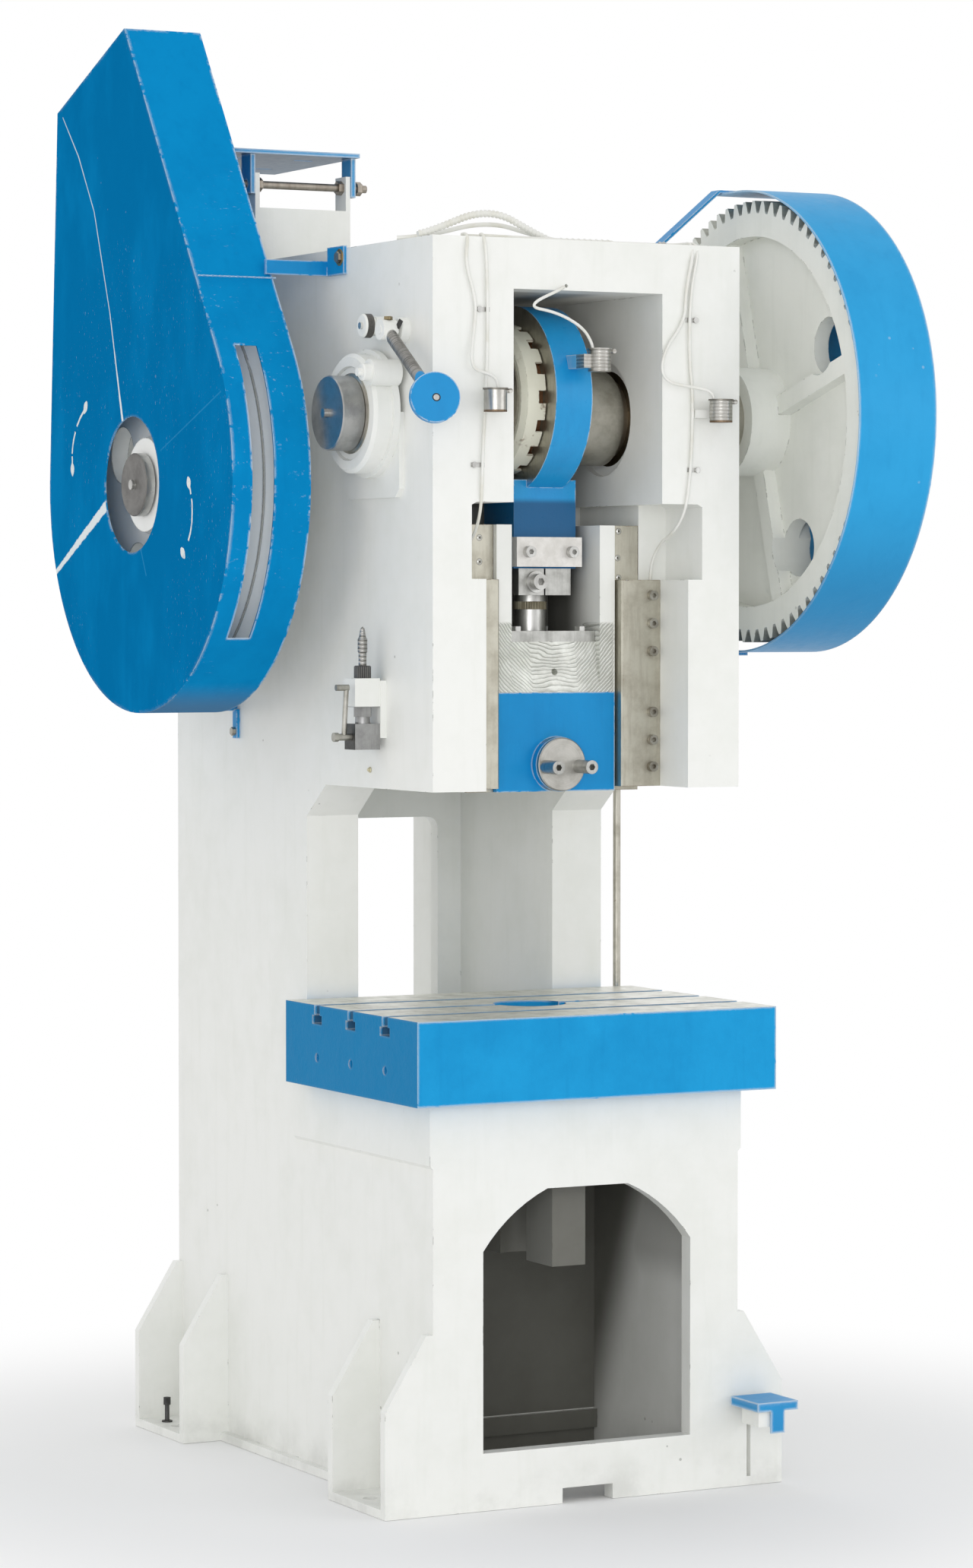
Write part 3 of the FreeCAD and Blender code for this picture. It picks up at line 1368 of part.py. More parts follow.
def slotted_collar():
    """Round stop collar with a screw in its face."""
    return turned("slotted_collar", "X", (0, ram_y - 29, crank_z + 151),
                  (-side, 0), (-side, 17), (-side - 20, 17), (-side - 20, 15),
                  (-side - 27, 15), (-side - 27, 21), (-side - 40, 21), (-side - 43, 18),
                  (-side - 43, 6), (-side - 47, 6), (-side - 47, 0))


def trip_boss():
    """Fixed pivot boss of the trip lever."""
    return turned("trip_boss", "X", (0, trip_y, trip_z),
                  (-side, 0), (-side, 22), (-side - 14, 22), (-side - 16, 20),
                  (-side - 16, 8), (trip_x - 15, 8), (trip_x - 15, 0))


def lever_bosses():
    return group("lever_bosses", [stop_boss(), trip_boss()])


def lever_rod(name, size, start, length):
    """A round bar in the lever's own direction, from start along it."""
    lean = math.radians(amount(trip_drop))
    along = V(0, -math.cos(lean), -math.sin(lean))
    bar = doc.addObject("Part::Cylinder", name)
    drive(bar, "Radius", size)
    drive(bar, "Height", length)
    bar.Placement.Rotation = FreeCAD.Rotation(V(0, 0, 1), along)
    shift = along * start
    return place(bar, (trip_x, trip_y + shift.y, trip_z + shift.z))


def trip_lever():
    """White lever head with its steel rod."""
    head = rod("lever_head", "X", (trip_x - 14, trip_y, trip_z), 18, 28)
    bar = lever_rod("lever_bar", 11, 8, trip_length - 30)
    bore = rod("lever_bore", "X", (trip_x - 40, trip_y, trip_z), 8 + play, 80)
    return cut("trip_lever", fuse("lever_solid", [head, bar]), bore)


def palm_disc():
    """Blue disc on its collar at the lever's end."""
    lean = math.radians(amount(trip_drop))
    reach = amount(trip_length)
    y = trip_y - reach * math.cos(lean)
    z = trip_z - reach * math.sin(lean)
    collar = lever_rod("palm_collar", 15, amount(trip_length) - 48, 26)
    socket = lever_rod("palm_socket", 11.05, amount(trip_length) - 60, 38)
    disc = doc.addObject("Part::Cylinder", "palm_plate")
    drive(disc, "Radius", palm_radius)
    drive(disc, "Height", 14)
    facing = V(-0.26, -0.96, 0.1).normalize()
    disc.Placement.Rotation = FreeCAD.Rotation(V(0, 0, 1), facing)
    place(disc, (trip_x, y, z))
    neck = lever_rod("palm_neck", 13, amount(trip_length) - 24, 26)
    return cut("palm_disc", fuse("palm_solid", [collar, neck, disc]), socket)


def pump_body():
    """Hand oil pump: white bracket, steel block and its union."""
    x, y, z = pump_x, pump_y, pump_z
    steel = block("pump_steel", (x - 24, y - 14, z), 48, 42, 45)
    neck = rod("pump_neck", "Z", (x, y + 6, z + 45), 13, 12)
    union = hexagon("pump_union", "Z", (x, y + 6, z + 57), 17, 17)
    white = block("pump_white", (x - 24, y - 14, z + 74), 48, 44, 50)
    return fuse("pump_body", [steel, neck, union, white])


def pump_bracket():
    """White plate that carries the pump on the frame's side."""
    x = pump_x + 24
    return keep_label(block("pump_bracket", (x, pump_y - 16, pump_z + 20), -side - x, 48, 100))


def pump_spindle():
    """Knurled nut and tapered spindle on the pump."""
    z = pump_z + 124
    return turned("pump_spindle", "Z", (pump_x, pump_y + 6, 0),
                  (z + 0.2, 0), (z + 0.2, 15), (z + 20, 15), (z + 22, 13), (z + 22, 7),
                  (z + 44, 7), (z + 46, 8.5), (z + 68, 8.5), (z + 72, 6), (z + 86, 4),
                  (z + 90, 0))


def pump_handle():
    """Swinging handle: pivot pin, arm and finger pin."""
    x, y, z = pump_x - 24.3, pump_y + 2, pump_z + 22
    pivot = rod("handle_pivot", "X", (x - 30, y, z), 6, 30)
    knob = rod("handle_end", "X", (x - 34, y, z), 8, 8)
    arm = doc.addObject("Part::Cylinder", "handle_arm")
    drive(arm, "Radius", 4.5)
    drive(arm, "Height", 88)
    arm.Placement.Rotation = FreeCAD.Rotation(V(0, 0, 1), V(0, -0.12, 0.99))
    place(arm, (x - 14, y, z))
    tip = rod("handle_tip", "X", (x - 34, y - 10.5, z + 86), 5.5, 24)
    return fuse("pump_handle", [pivot, knob, arm, tip])


# ---------------------------------------------------------------- oil cups and tubes

def point(stop):
    return V(*[amount(size) for size in stop[:3]])


def route(stops):
    """A wire of straight runs through the stops; a fourth number rounds that corner."""
    spots = [point(stop) for stop in stops]
    edges = []
    radii = []
    start = spots[0]
    for before, here, after, stop in zip(spots, spots[1:], spots[2:], stops[1:]):
        incoming = (here - before).normalize()
        outgoing = (after - here).normalize()
        turn = incoming.getAngle(outgoing)
        reach = stop[3] * math.tan(turn / 2)
        first, last = here - incoming * reach, here + outgoing * reach
        inward = (outgoing - incoming).normalize()
        middle = here + inward * (stop[3] / math.cos(turn / 2) - stop[3])
        edges.append(Part.makeLine(start, first))
        edges.append(Part.Arc(first, middle, last).toShape())
        radii.append(stop[3])
        start = last
    edges.append(Part.makeLine(start, spots[-1]))
    return Part.Wire(edges), radii


def ring_at(spot, along, size, across=None):
    ring = Part.Circle(spot, along, size)
    if across is not None:
        ring.XAxis = across
    return Part.Wire(ring.toShape())


def tube(label, size, *stops):
    """A tube along a route, as one closed solid."""
    wire, radii = route(stops)
    spots = [point(stop) for stop in stops]
    profile = ring_at(spots[0], spots[1] - spots[0], amount(size))
    solid = doc.addObject("Part::Feature", label)
    solid.Label = label
    solid.Shape = wire.makePipeShell([profile], True, False)
    section = math.pi * amount(size) ** 2
    print(label, "length", round(wire.Length), "arcs", radii,
          "volume share", round(solid.Shape.Volume / section / wire.Length, 4))
    return solid


def ribbed(label, root, crest, bore, ribs, *stops):
    """A ribbed hose in a plane of constant Y, smooth for one diameter at both ends."""
    wire, radii = route(stops)
    plain = 2 * amount(crest)
    pitch = (wire.Length - 2 * plain) / ribs
    marks = [(0, root), (plain, root)]
    for rib in range(ribs):
        start = plain + rib * pitch
        shares = ((0.25, crest), (0.6, crest), (0.85, root), (1.0, root))
        marks += [(start + share * pitch, size) for share, size in shares]
    marks.append((wire.Length, root))
    path = wire.discretize(Number=400)
    step = wire.Length / 399
    rings = []
    for along, size in marks:
        index = min(int(along / step), 398)
        share = along / step - index
        spot = path[index] + (path[index + 1] - path[index]) * share
        heading = path[min(index + 2, 399)] - path[max(index - 1, 0)]
        rings.append(ring_at(spot, heading, amount(size), V(0, 1, 0)))
    hose = doc.addObject("Part::Feature", label + "_skin")
    hose.Shape = Part.makeLoft(rings, True, True)
    print(label, "length", round(wire.Length), "arcs", radii)
    return cut(label, hose, tube(label + "_bore", bore, *stops))


def oil_cup(name, x, y, z):
    """Round cup with a lid, its hinge knuckle and a hole for the tube."""
    cup = rod(name + "_cup", "Z", (x, y, z), cup_radius, cup_height)
    lid = rod(name + "_lid", "Z", (x, y, z + cup_height), cup_radius + 2, 2.5)
    tab = block(name + "_tab", (x + 17, y - 5, z + cup_height - 4), 10, 10, 5)
    knuckle = rod(name + "_knuckle", "Y", (x + 26, y - 7, z + cup_height - 2), 4, 14)
    solid = fuse(name + "_solid", [cup, lid, tab, knuckle])
    hole_x = x + 5 if name == "left" else x - 14
    hole = rod(name + "_hole", "Z", (hole_x, y, z + cup_height - 8), tube_radius + 0.4, 12)
    return cut(name + "_oil_cup", solid, hole)


def oil_cups():
    """The head's two cups and the white arms that carry them in front of it."""
    y = front - cup_reach
    return group("oil_cups", [oil_cup("left", left_cup_x, y, left_cup_z),
                              oil_cup("right", right_cup_x, y, right_cup_z)] + cup_arms())


def cup_arms():
    arms = []
    for name, x, z, width in (("left", left_cup_x - 1, left_cup_z + 10, 14),
                              ("right", right_cup_x - 38, right_cup_z + 8, 46)):
        behind = cup_reach - cup_radius - 0.2
        foot = block(f"arm_{name}_foot", (x + width - 16, front - behind, z), 16, behind - 5, 14)
        plate = block(f"arm_{name}_plate", (x, front - 12, z), width, 4, 14)
        post = block(f"arm_{name}_post", (x, front - 12, z), 6, 12, 14)
        if name == "left":
            arms.append(block("arm_left", (x, front - behind, z), width, behind, 14))
            continue
        arms.append(fuse(f"arm_{name}", [foot, plate, post]))
    return arms


def rod_oil_cup():
    """Cup of the connecting rod, on a small arm from the strap."""
    y = front + 8
    arm = block("rod_cup_arm", (rod_cup_x - 34, y - 6, rod_cup_z + 6), 18, 66, 24)
    cup = oil_cup("rod", rod_cup_x, y, rod_cup_z)
    strap = rod("rod_cup_strap", "X", (-strap_width / 2, ram_y, strap_z), strap_radius + 0.2,
                strap_width)
    seat = rod("rod_cup_seat", "Z", (rod_cup_x, y, rod_cup_z - 2), cup_radius - 3,
               cup_height)
    link = block("rod_cup_link", (rod_cup_x - 22, y - 6, rod_cup_z + 10), 16, 12, 16)
    return cut("oil_cup_rod", fuse("rod_cup_all", [cup, arm, link]), strap)


def oil_tubes():
    """Thin tubes over the head's front: one to each cup and one to each gib."""
    y = front - tube_radius - tube_gap
    top = head_top + tube_radius + tube_gap
    gib_end = gib_y - gib_depth / 2
    edge_y, edge_z = front - 5, head_top + 5
    cup_y = front - cup_reach
    tubes = [
        tube("left_gib_tube", tube_radius, (-26, front + 50, top), (-170, front + 28, top, 60),
             (-203, front + 26, top, 10), (-206, edge_y, edge_z, 10), (-200, y, head_top - 60, 60),
             (-200, y, left_cup_z + 80, 90), (-209, y, left_cup_z - 60, 90),
             (-212, y, gib_top + 95, 16), (-188, gib_end, gib_top + 45, 16),
             (-188, gib_end, gib_top + 0.3)),
        tube("left_cup_tube", tube_radius, (-26, front + 57, top), (-190, front + 44, top, 60),
             (-234, front + 38, top, 12), (-236, edge_y, edge_z, 10), (-243, y, 2150, 40),
             (-223, y, 2090, 40), (-223, y, 2050, 40), (-238, y - 5, 1968, 6),
             (-202, y - 11, 1959, 20), (left_cup_x + 5, cup_y, 1948, 8),
             (left_cup_x + 5, cup_y, left_cup_z + cup_height - 3)),
        tube("right_gib_tube", tube_radius, (190.4, front + 69, top), (221, front + 69, top, 14),
             (221, edge_y, edge_z, 10), (200, y, 2110, 60),
             (199, y, 1990, 60), (207, y, 1930, 60), (203, y, 1800, 90),
             (188, y, gib_top + 98, 30), (188, gib_end, gib_top + 50, 20),
             (188, gib_end, gib_top + 0.3)),
        tube("right_cup_tube", tube_radius, (190.4, front + 62.5, top),
             (211, front + 62.5, top, 14), (211, edge_y, edge_z, 10), (191, y, 2110, 40),
             (191, y, 2062, 30), (143, y - 1, 2002, 16), (143, y - 3, 1954, 10),
             (200, y - 13, 1945, 60), (right_cup_x - 14, cup_y, 1938, 6),
             (right_cup_x - 14, cup_y, right_cup_z + cup_height - 3)),
        tube("window_tube", tube_radius, (-44, front + 16, bay_top + 8),
             (-44, front - 12, bay_top + 8, 9), (-132, front - 12, bay_top - 30, 7),
             (-62, front, bay_top - 38, 50), (-8, front + 6, bay_top - 62, 25),
             (rod_cup_x - 14, front + 8, bay_top - 90, 12),
             (rod_cup_x - 14, front + 8, rod_cup_z + cup_height + 3.2))]
    return group("oil_tubes", tubes)


def top_hoses():
    """Ribbed hose in an arch, a smooth hose, the wrapped bundle and a thin line."""
    low = head_top + hose_radius - 1
    y = front + 66
    arch = ribbed("arch_hose", hose_radius - 1.4, hose_radius, hose_radius - 2.6,
                  int(amount(hose_ribs)), (-298, y, low), (-278, y, low + 4, 30),
                  (-160, y, low + 52, 110), (-62, y, low + 5, 40), (-48, y, low + 1))
    smooth = tube("smooth_hose", 4, (-300, front + 142, head_top + 4.4),
                  (-262, front + 120, head_top + 5, 60), (-150, front + 92, head_top + 36, 130),
                  (-60, front + 82, head_top + 12, 60), (-22, front + 80, head_top + 5.5))
    thin = tube("thin_hose", 3.2, (84, y, head_top + 3.6), (176, y, head_top + 3.6))
    end = tube("thin_hose_end", 5, (176.3, y, head_top + 5.4), (190, y, head_top + 5.4))
    level = head_top + wrap_radius + 0.3
    wrap = ribbed("hose_wrap", wrap_radius - 1.2, wrap_radius, 1.5, 8,
                  (-22, y, level), (30, y, level, 400), (83, y, level + 0.01))
    return group("top_hoses", [arch, smooth, thin, end, wrap])


def tube_clips():
    """Small clips that hold the tubes to the head, each with its round-head screw."""
    clips = []
    for name, x, z, hand in (("upper_left", -214, 2070, 1), ("lower_left", -224, 1804, 1),
                             ("upper_right", 213, 2063, -1), ("lower_right", 217, 1801, -1)):
        left = x - 6 if hand > 0 else x - 20
        pad = block(f"clip_{name}_pad", (left, front - 1.2, z - 4), 26, 1.2, 8)
        head = rod(f"clip_{name}_head", "Y", (x, front - 4.5, z), 5, 3.5)
        clips.append(fuse(f"clip_{name}", [pad, head]))
    return group("tube_clips", clips)


# ---------------------------------------------------------------- floor level

def jack_bolt():
    """Levelling bolt standing in the rear left foot."""
    x = anchor_edge - foot_span / 2
    y = base_depth / 2 - jack_inset
    stem = rod("jack_stem", "Z", (x, y, 0), 4.4, 52)
    head = hexagon("jack_head", "Z", (x, y, 49), 7.4, 14)
    washer = rod("jack_washer", "Z", (x, y, floor_plate), 10, 3)
    return fuse("jack_bolt", [stem, head, washer])


def pedal_bracket():
    """Pivot pin and pad of the treadle on the base's right side."""
    pad = block("pivot_pad", (side, pedal_pivot_y - 30, pedal_pivot_z - 30), 12, 60, 60)
    pivot = rod("pivot_pin", "X", (side, pedal_pivot_y, pedal_pivot_z), 9, pedal_x + 16 - side)
    return fuse("pedal_bracket", [pad, pivot])


def foot_pedal():
    """White treadle bar through the front foot, with the seat of the step plate."""
    body = new_body("foot_pedal")
    low = pedal_pivot_z - 15
    prism(body, "bar", "YZ_Plane", pedal_x, pedal_thick, loop(
        (front - 95, low), (pedal_pivot_y, low), (pedal_pivot_y + 22, low + 15),
        (pedal_pivot_y, low + 30), (front - 95, low + 30)))
    prism(body, "seat", "XY_Plane", low + 6, 37.5,
          rectangle(pedal_x - 35.5, front - 97.5, pedal_x + 8, front - 41))
    prism(body, "pivot_eye", "YZ_Plane", pedal_x, pedal_thick,
          circle(pedal_pivot_y, pedal_pivot_z, 9 + play), cut=True)
    prism(body, "pin_slot", "YZ_Plane", pedal_x, pedal_thick, rectangle(
        pull_rod_y - 6.5, pedal_pivot_z - 5.3, pull_rod_y + 6.5, pedal_pivot_z + 5.3), cut=True)
    return body


def step_plate():
    """Blue tread: a shallow upturned pan with a tab at its front."""
    left, top = pedal_x - 40, pedal_pivot_z + 34
    near = front - 10 - tread_depth
    body = new_body("step_plate")
    prism(body, "tread", "XY_Plane", top - tread_rim, tread_rim,
          rectangle(left, near, left + tread_width, front - 10))
    prism(body, "underside", "XY_Plane", top - tread_rim, tread_rim - 5,
          rectangle(left + 4, near + 4, left + tread_width - 4, front - 14), cut=True)
    prism(body, "tab", "XZ_Plane", near, 4,
          rectangle(left + 27, top - 55, left + 55, top - tread_rim))
    return body


def pull_rod():
    """Vertical rod from the treadle up to the clutch, with its eye at the foot."""
    low = pedal_pivot_z
    bar = rod("pull_bar", "Z", (pull_rod_x, pull_rod_y, low), 7, pull_rod_top - low)
    eye = block("pull_eye", (pull_rod_x - 9, pull_rod_y - 12, low - 16), 18, 24, 32)
    pivot = rod("pull_pin", "X", (pedal_x - 4, pull_rod_y, low), 5, pull_rod_x - pedal_x - 4)
    return fuse("pull_rod", [bar, eye, pivot])


def rod_guides():
    """Two guide brackets of the pull rod on the frame's right side."""
    guides = []
    for name, z in (("lower", 330), ("upper", 1690)):
        arm = block(f"guide_{name}_arm", (side, pull_rod_y - 14, z), pull_rod_x - side + 14, 28, 22)
        hole = rod(f"guide_{name}_hole", "Z", (pull_rod_x, pull_rod_y, z - 1), 7 + play, 24)
        guides.append(cut(f"rod_guide_{name}", arm, hole))
    return group("rod_guides", guides)


# ---------------------------------------------------------------- build and write

keep(frame_casting())
keep(bolster_plate())
keep(group("gibs", [gib("gib_left", -1), gib("gib_right", 1)]))
keep(gib_screws())
keep(bearing_flanges())
keep(crank_bushes())
keep(crankshaft())
keep(stroke_ring())
keep(drive_gear())
keep(crank_end_disc())
keep(gear_end_plate())
keep(drive_bearings())
keep(drive_shaft())
keep(pinion())
keep(flywheel())
keep(flywheel_end_disc())
keep(belt_guard())
keep(guard_straps())
keep(guard_bolts())
keep(gear_guard())
keep(gear_guard_stays())
keep(connecting_rod())
keep(rod_clamp_plate())
keep(lock_block())
keep(rod_bolts())
keep(ball_screw())
keep(ratchet_ring())
keep(slide_casting())
keep(wear_strips())
keep(ball_cap_plate())
keep(cap_bolts())
keep(clamp_block())
keep(clamp_disc())
keep(clamp_studs())
keep(motor_bracket())
keep(hinge_rod())
keep(hinge_nuts())
keep(motor_plate())
keep(tension_stud())
keep(tension_nuts())
keep(slotted_collar())
keep(lever_bosses())
keep(trip_lever())
keep(palm_disc())
keep(pump_body())
keep(pump_bracket())
keep(pump_spindle())
keep(pump_handle())
keep(oil_cups())
keep(rod_oil_cup())
keep(oil_tubes())
keep(top_hoses())
keep(tube_clips())
keep(jack_bolt())
keep(pedal_bracket())
keep(foot_pedal())
keep(step_plate())
keep(pull_rod())
keep(rod_guides())

doc.recompute()
for item in doc.Objects:
    if "Invalid" in item.State or "Error" in item.State:
        raise RuntimeError(f"{item.Label} did not build: {item.State}")
for node in nodes:
    if node.Shape.isNull() or not node.Shape.isValid():
        raise RuntimeError(f"{node.Label} has no valid shape")
for node in nodes:
    node.Shape.exportStep(f"parts/{node.Label}.step")
print(len(nodes), "nodes written")
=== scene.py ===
import logging
import math
from dataclasses import dataclass, replace
from enum import Enum
from typing import Any, Callable, ClassVar, Sequence

import bmesh
import bpy
from bpy.types import Material, Node, NodeSocket, NodeTree, Object
from mathutils import Matrix, Vector


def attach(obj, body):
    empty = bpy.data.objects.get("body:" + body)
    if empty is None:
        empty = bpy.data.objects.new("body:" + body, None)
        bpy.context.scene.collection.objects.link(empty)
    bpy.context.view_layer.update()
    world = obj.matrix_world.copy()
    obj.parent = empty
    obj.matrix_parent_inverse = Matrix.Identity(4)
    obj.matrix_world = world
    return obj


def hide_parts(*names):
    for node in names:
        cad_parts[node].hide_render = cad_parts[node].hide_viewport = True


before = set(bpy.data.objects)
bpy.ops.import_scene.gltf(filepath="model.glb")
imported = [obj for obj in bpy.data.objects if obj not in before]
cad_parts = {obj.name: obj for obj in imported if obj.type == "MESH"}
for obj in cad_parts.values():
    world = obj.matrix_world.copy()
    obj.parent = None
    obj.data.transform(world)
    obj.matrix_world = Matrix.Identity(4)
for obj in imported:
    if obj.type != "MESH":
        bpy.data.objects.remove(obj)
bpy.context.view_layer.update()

log = logging.getLogger("press")
Colour = tuple[float, float, float]
Point = tuple[float, float, float]
Box = tuple[Point, Point]
Span = tuple[float, float]
Stroke = tuple[Point, Point, float]
MM = 0.001
MADE: dict[str, Material] = {}


class Axis(Enum):
    """The line that a turned piece turns about."""

    X = 0
    Y = 1
    Z = 2


class Lay(Enum):
    """The marks that a tool left on bare metal."""

    CAST = "cast"
    MILLED = "milled"
    TURNED = "turned"


def arithmetic(operation: str, turned: bool = False) -> Callable[["Value", "Value | float"], "Value"]:
    """A method of a number that adds a Math node with another number.

    Args:
        operation: The node's operation.
        turned: Whether the other number comes first.

    Returns:
        The method.
    """

    def method(self: "Value", other: "Value | float") -> "Value":
        """Adds the node and gives its result."""
        return self.shader.maths(operation, *((other, self) if turned else (self, other)))

    return method


class Value:
    """A number that varies over a surface, with arithmetic that adds Math nodes."""

    __add__ = __radd__ = arithmetic("ADD")
    __sub__, __rsub__ = arithmetic("SUBTRACT"), arithmetic("SUBTRACT", True)
    __mul__ = __rmul__ = arithmetic("MULTIPLY")
    __truediv__, __pow__ = arithmetic("DIVIDE"), arithmetic("POWER")
    most, least = arithmetic("MAXIMUM"), arithmetic("MINIMUM")

    def __init__(self, shader: "Nodes", socket: NodeSocket) -> None:
        """Keeps the nodes being built and the socket that gives the number."""
        self.shader = shader
        self.socket = socket

    def __abs__(self) -> "Value":
        """This number without its sign."""
        return self.shader.maths("ABSOLUTE", self)

    def ramp(self, low: float, high: float) -> "Value":
        """Rises smoothly from 0 at low to 1 at high, or falls where low is the higher.

        Args:
            low: The number that gives 0.
            high: The number that gives 1.

        Returns:
            A number from 0 to 1.
        """
        return self.shader.value(
            "MapRange",
            {"interpolation_type": "SMOOTHSTEP"},
            {"Value": self, "From Min": low, "From Max": high},
        )


Number = Value | float


class Nodes:
    """The nodes of a material or a world, built one by one."""

    def __init__(self, tree: NodeTree) -> None:
        """Starts with no nodes."""
        self.tree = tree
        tree.nodes.clear()

    def node(
        self,
        kind: str,
        settings: dict[str, Any] | None = None,
        inputs: dict[int | str, Any] | None = None,
    ) -> Node:
        """Adds one node.

        Args:
            kind: Its type, without the ShaderNode at the start.
            settings: Its own properties, which are set first.
            inputs: What each socket takes: a number, a colour, a socket or a Value.

        Returns:
            The node.
        """
        made = self.tree.nodes.new("ShaderNode" + kind)
        for key, value in (settings or {}).items():
            setattr(made, key, value)
        for key, value in (inputs or {}).items():
            source = value.socket if isinstance(value, Value) else value
            if isinstance(source, NodeSocket):
                self.tree.links.new(source, made.inputs[key])
            else:
                made.inputs[key].default_value = source
        return made

    def value(self, kind: str, settings: dict[str, Any], inputs: dict[int | str, Any]) -> Value:
        """Adds a node and gives its first result as a number."""
        return Value(self, self.node(kind, settings, inputs).outputs[0])

    def maths(self, operation: str, *operands: Number) -> Value:
        """Adds one Math node, whose sockets take the operands in order."""
        return self.value("Math", {"operation": operation}, dict(enumerate(operands)))

    def seen(self) -> Value:
        """Tells what a camera sees, straight, in a gloss or through glass, from light.

        Returns:
            1 for what is seen and 0 for what only lights.
        """
        path = self.node("LightPath")
        rays = [Value(self, path.outputs[f"Is {kind} Ray"]) for kind in ("Camera", "Glossy", "Transmission")]
        return rays[0].most(rays[1]).most(rays[2])


class Shader(Nodes):
    """A material being built over the places and sides of its piece."""

    def __init__(self, name: str) -> None:
        """Starts an empty material.

        Args:
            name: The material's name.
        """
        self.material = bpy.data.materials.new(name)
        self.material.use_nodes = True
        super().__init__(self.material.node_tree)
        self.coordinates = self.node("TexCoord")
        self.places = self.coordinates.outputs["Object"]
        split = self.node("SeparateXYZ", inputs={0: self.places})
        self.x, self.y, self.z = (Value(self, split.outputs[i]) for i in range(3))

    def blend(self, under: Any, over: Any, mask: Any) -> NodeSocket:
        """Mixes two colours, each a socket or three numbers.

        Args:
            under: The colour where the mask is 0.
            over: The colour where the mask is 1.
            mask: A Value or a number.

        Returns:
            The mixed colour's socket.
        """
        pair = [(*c, 1.0) if isinstance(c, tuple) else c for c in (under, over)]
        made = self.node("Mix", {"data_type": "RGBA"}, {0: mask, 6: pair[0], 7: pair[1]})
        return made.outputs[2]

    def noise(
        self, scale: float, detail: float = 3.0, rough: float = 0.55, stretch: Point = (1, 1, 1)
    ) -> Value:
        """Cloudy noise over the piece.

        Args:
            scale: Waves per metre.
            detail: Octaves.
            rough: How strong the fine octaves are.
            stretch: How much longer the clouds are along each axis.

        Returns:
            A number about 0.5.
        """
        places = self.places
        if stretch != (1, 1, 1):
            mapping = self.node(
                "Mapping", {"vector_type": "TEXTURE"}, {"Vector": places, "Scale": stretch}
            )
            places = mapping.outputs[0]
        return self.value(
            "TexNoise", {}, {"Vector": places, "Scale": scale, "Detail": detail, "Roughness": rough}
        )

    def lines(self, along: Value, scale: float, detail: float = 2.0) -> Value:
        """Noise of one number, as the rings or strokes that a tool leaves."""
        return self.value(
            "TexNoise", {"noise_dimensions": "1D"}, {"W": along, "Scale": scale, "Detail": detail}
        )

    def cells(self, scale: float) -> Value:
        """The distance to the nearest of scattered points, in their own spacing."""
        return self.value("TexVoronoi", {}, {"Vector": self.places, "Scale": scale})

    def radius(self, axis: Axis, centre: Point) -> Value:
        """The distance from a line through centre along axis, in metres."""
        pair = [v - centre[i] for i, v in enumerate((self.x, self.y, self.z)) if i != axis.value]
        return (pair[0] * pair[0] + pair[1] * pair[1]) ** 0.5

    def facing(self, axis: Axis) -> Value:
        """How far the surface faces along an axis of the piece, from -1 to 1."""
        split = self.node("SeparateXYZ", inputs={0: self.coordinates.outputs["Normal"]})
        return Value(self, split.outputs[axis.value])

    def left_faces(self) -> Value:
        """1 on the faces that look left."""
        return self.facing(Axis.X).ramp(-0.8, -0.95)

    def side_faces(self) -> Value:
        """1 on the faces that look left or right."""
        return abs(self.facing(Axis.X)).ramp(0.8, 0.95)

    def inside(self, low: Point, high: Point, soft: float = 0.01) -> Value:
        """1 inside a box and 0 outside, with soft sides.

        Args:
            low: The box's lowest corner, in metres.
            high: Its highest corner.
            soft: How far outside it the mask has faded.

        Returns:
            The mask.
        """
        mask: Any = 1.0
        for v, a, b in zip((self.x, self.y, self.z), low, high):
            mask = v.ramp(a - soft, a) * v.ramp(b + soft, b) * mask
        return mask

    def edges(self, width: float) -> Value:
        """Finds the outer and inner edges of the piece.

        Args:
            width: How far from an edge still counts as the edge, in metres.

        Returns:
            1 on the edges and 0 on the faces.
        """
        rounded = self.node("Bevel", {"samples": 4}, {"Radius": width}).outputs[0]
        straight = self.node("NewGeometry").outputs["Normal"]
        level = self.node("VectorMath", {"operation": "DOT_PRODUCT"}, {0: rounded, 1: straight})
        return (1.0 - Value(self, level.outputs["Value"])).ramp(0.02, 0.2)

    def stroke(self, start: Point, end: Point, width: float) -> Value:
        """A ragged stroke between two points of a face across X, in metres.

        Args:
            start: One end, as (y, z, share of the width there).
            end: The other end.
            width: The stroke's full width.

        Returns:
            1 on the stroke and 0 off it, with a ragged rim.
        """
        dy, dz = end[0] - start[0], end[1] - start[1]
        length = math.hypot(dy, dz)
        along = ((self.y - start[0]) * dy + (self.z - start[1]) * dz) / length**2
        across = abs((self.y - start[0]) * (dz / length) - (self.z - start[1]) * (dy / length))
        reach = along.most(0.0).least(1.0) * (end[2] - start[2]) + start[2]
        ragged = across - reach * (width / 2) * (0.4 + 1.3 * self.noise(70, 5, 0.7))
        return ragged.ramp(0.0012, -0.0012) * along.ramp(-0.01, 0.0) * along.ramp(1.01, 1.0)

    def finish(self, coat: "Coat", gloss: float = 0.0, shine: float = 0.5) -> Material:
        """Gives the material its shader.

        Args:
            coat: The colour, roughness, metal and relief.
            gloss: The weight of a clear coat.
            shine: The strength of the surface's own reflection.

        Returns:
            The material.
        """
        inputs: dict[int | str, Any] = {
            "Base Color": coat.colour,
            "Roughness": coat.rough,
            "Metallic": coat.metal,
            "Coat Weight": gloss,
            "Coat Roughness": 0.15,
            "Specular IOR Level": shine,
        }
        inputs["Normal"] = self.node(
            "Bump", {}, {"Height": coat.relief, "Distance": MM, "Strength": 1.0}
        ).outputs[0]
        surface = self.node("BsdfPrincipled", {}, inputs)
        self.node("OutputMaterial", {}, {0: surface.outputs[0]})
        return self.material


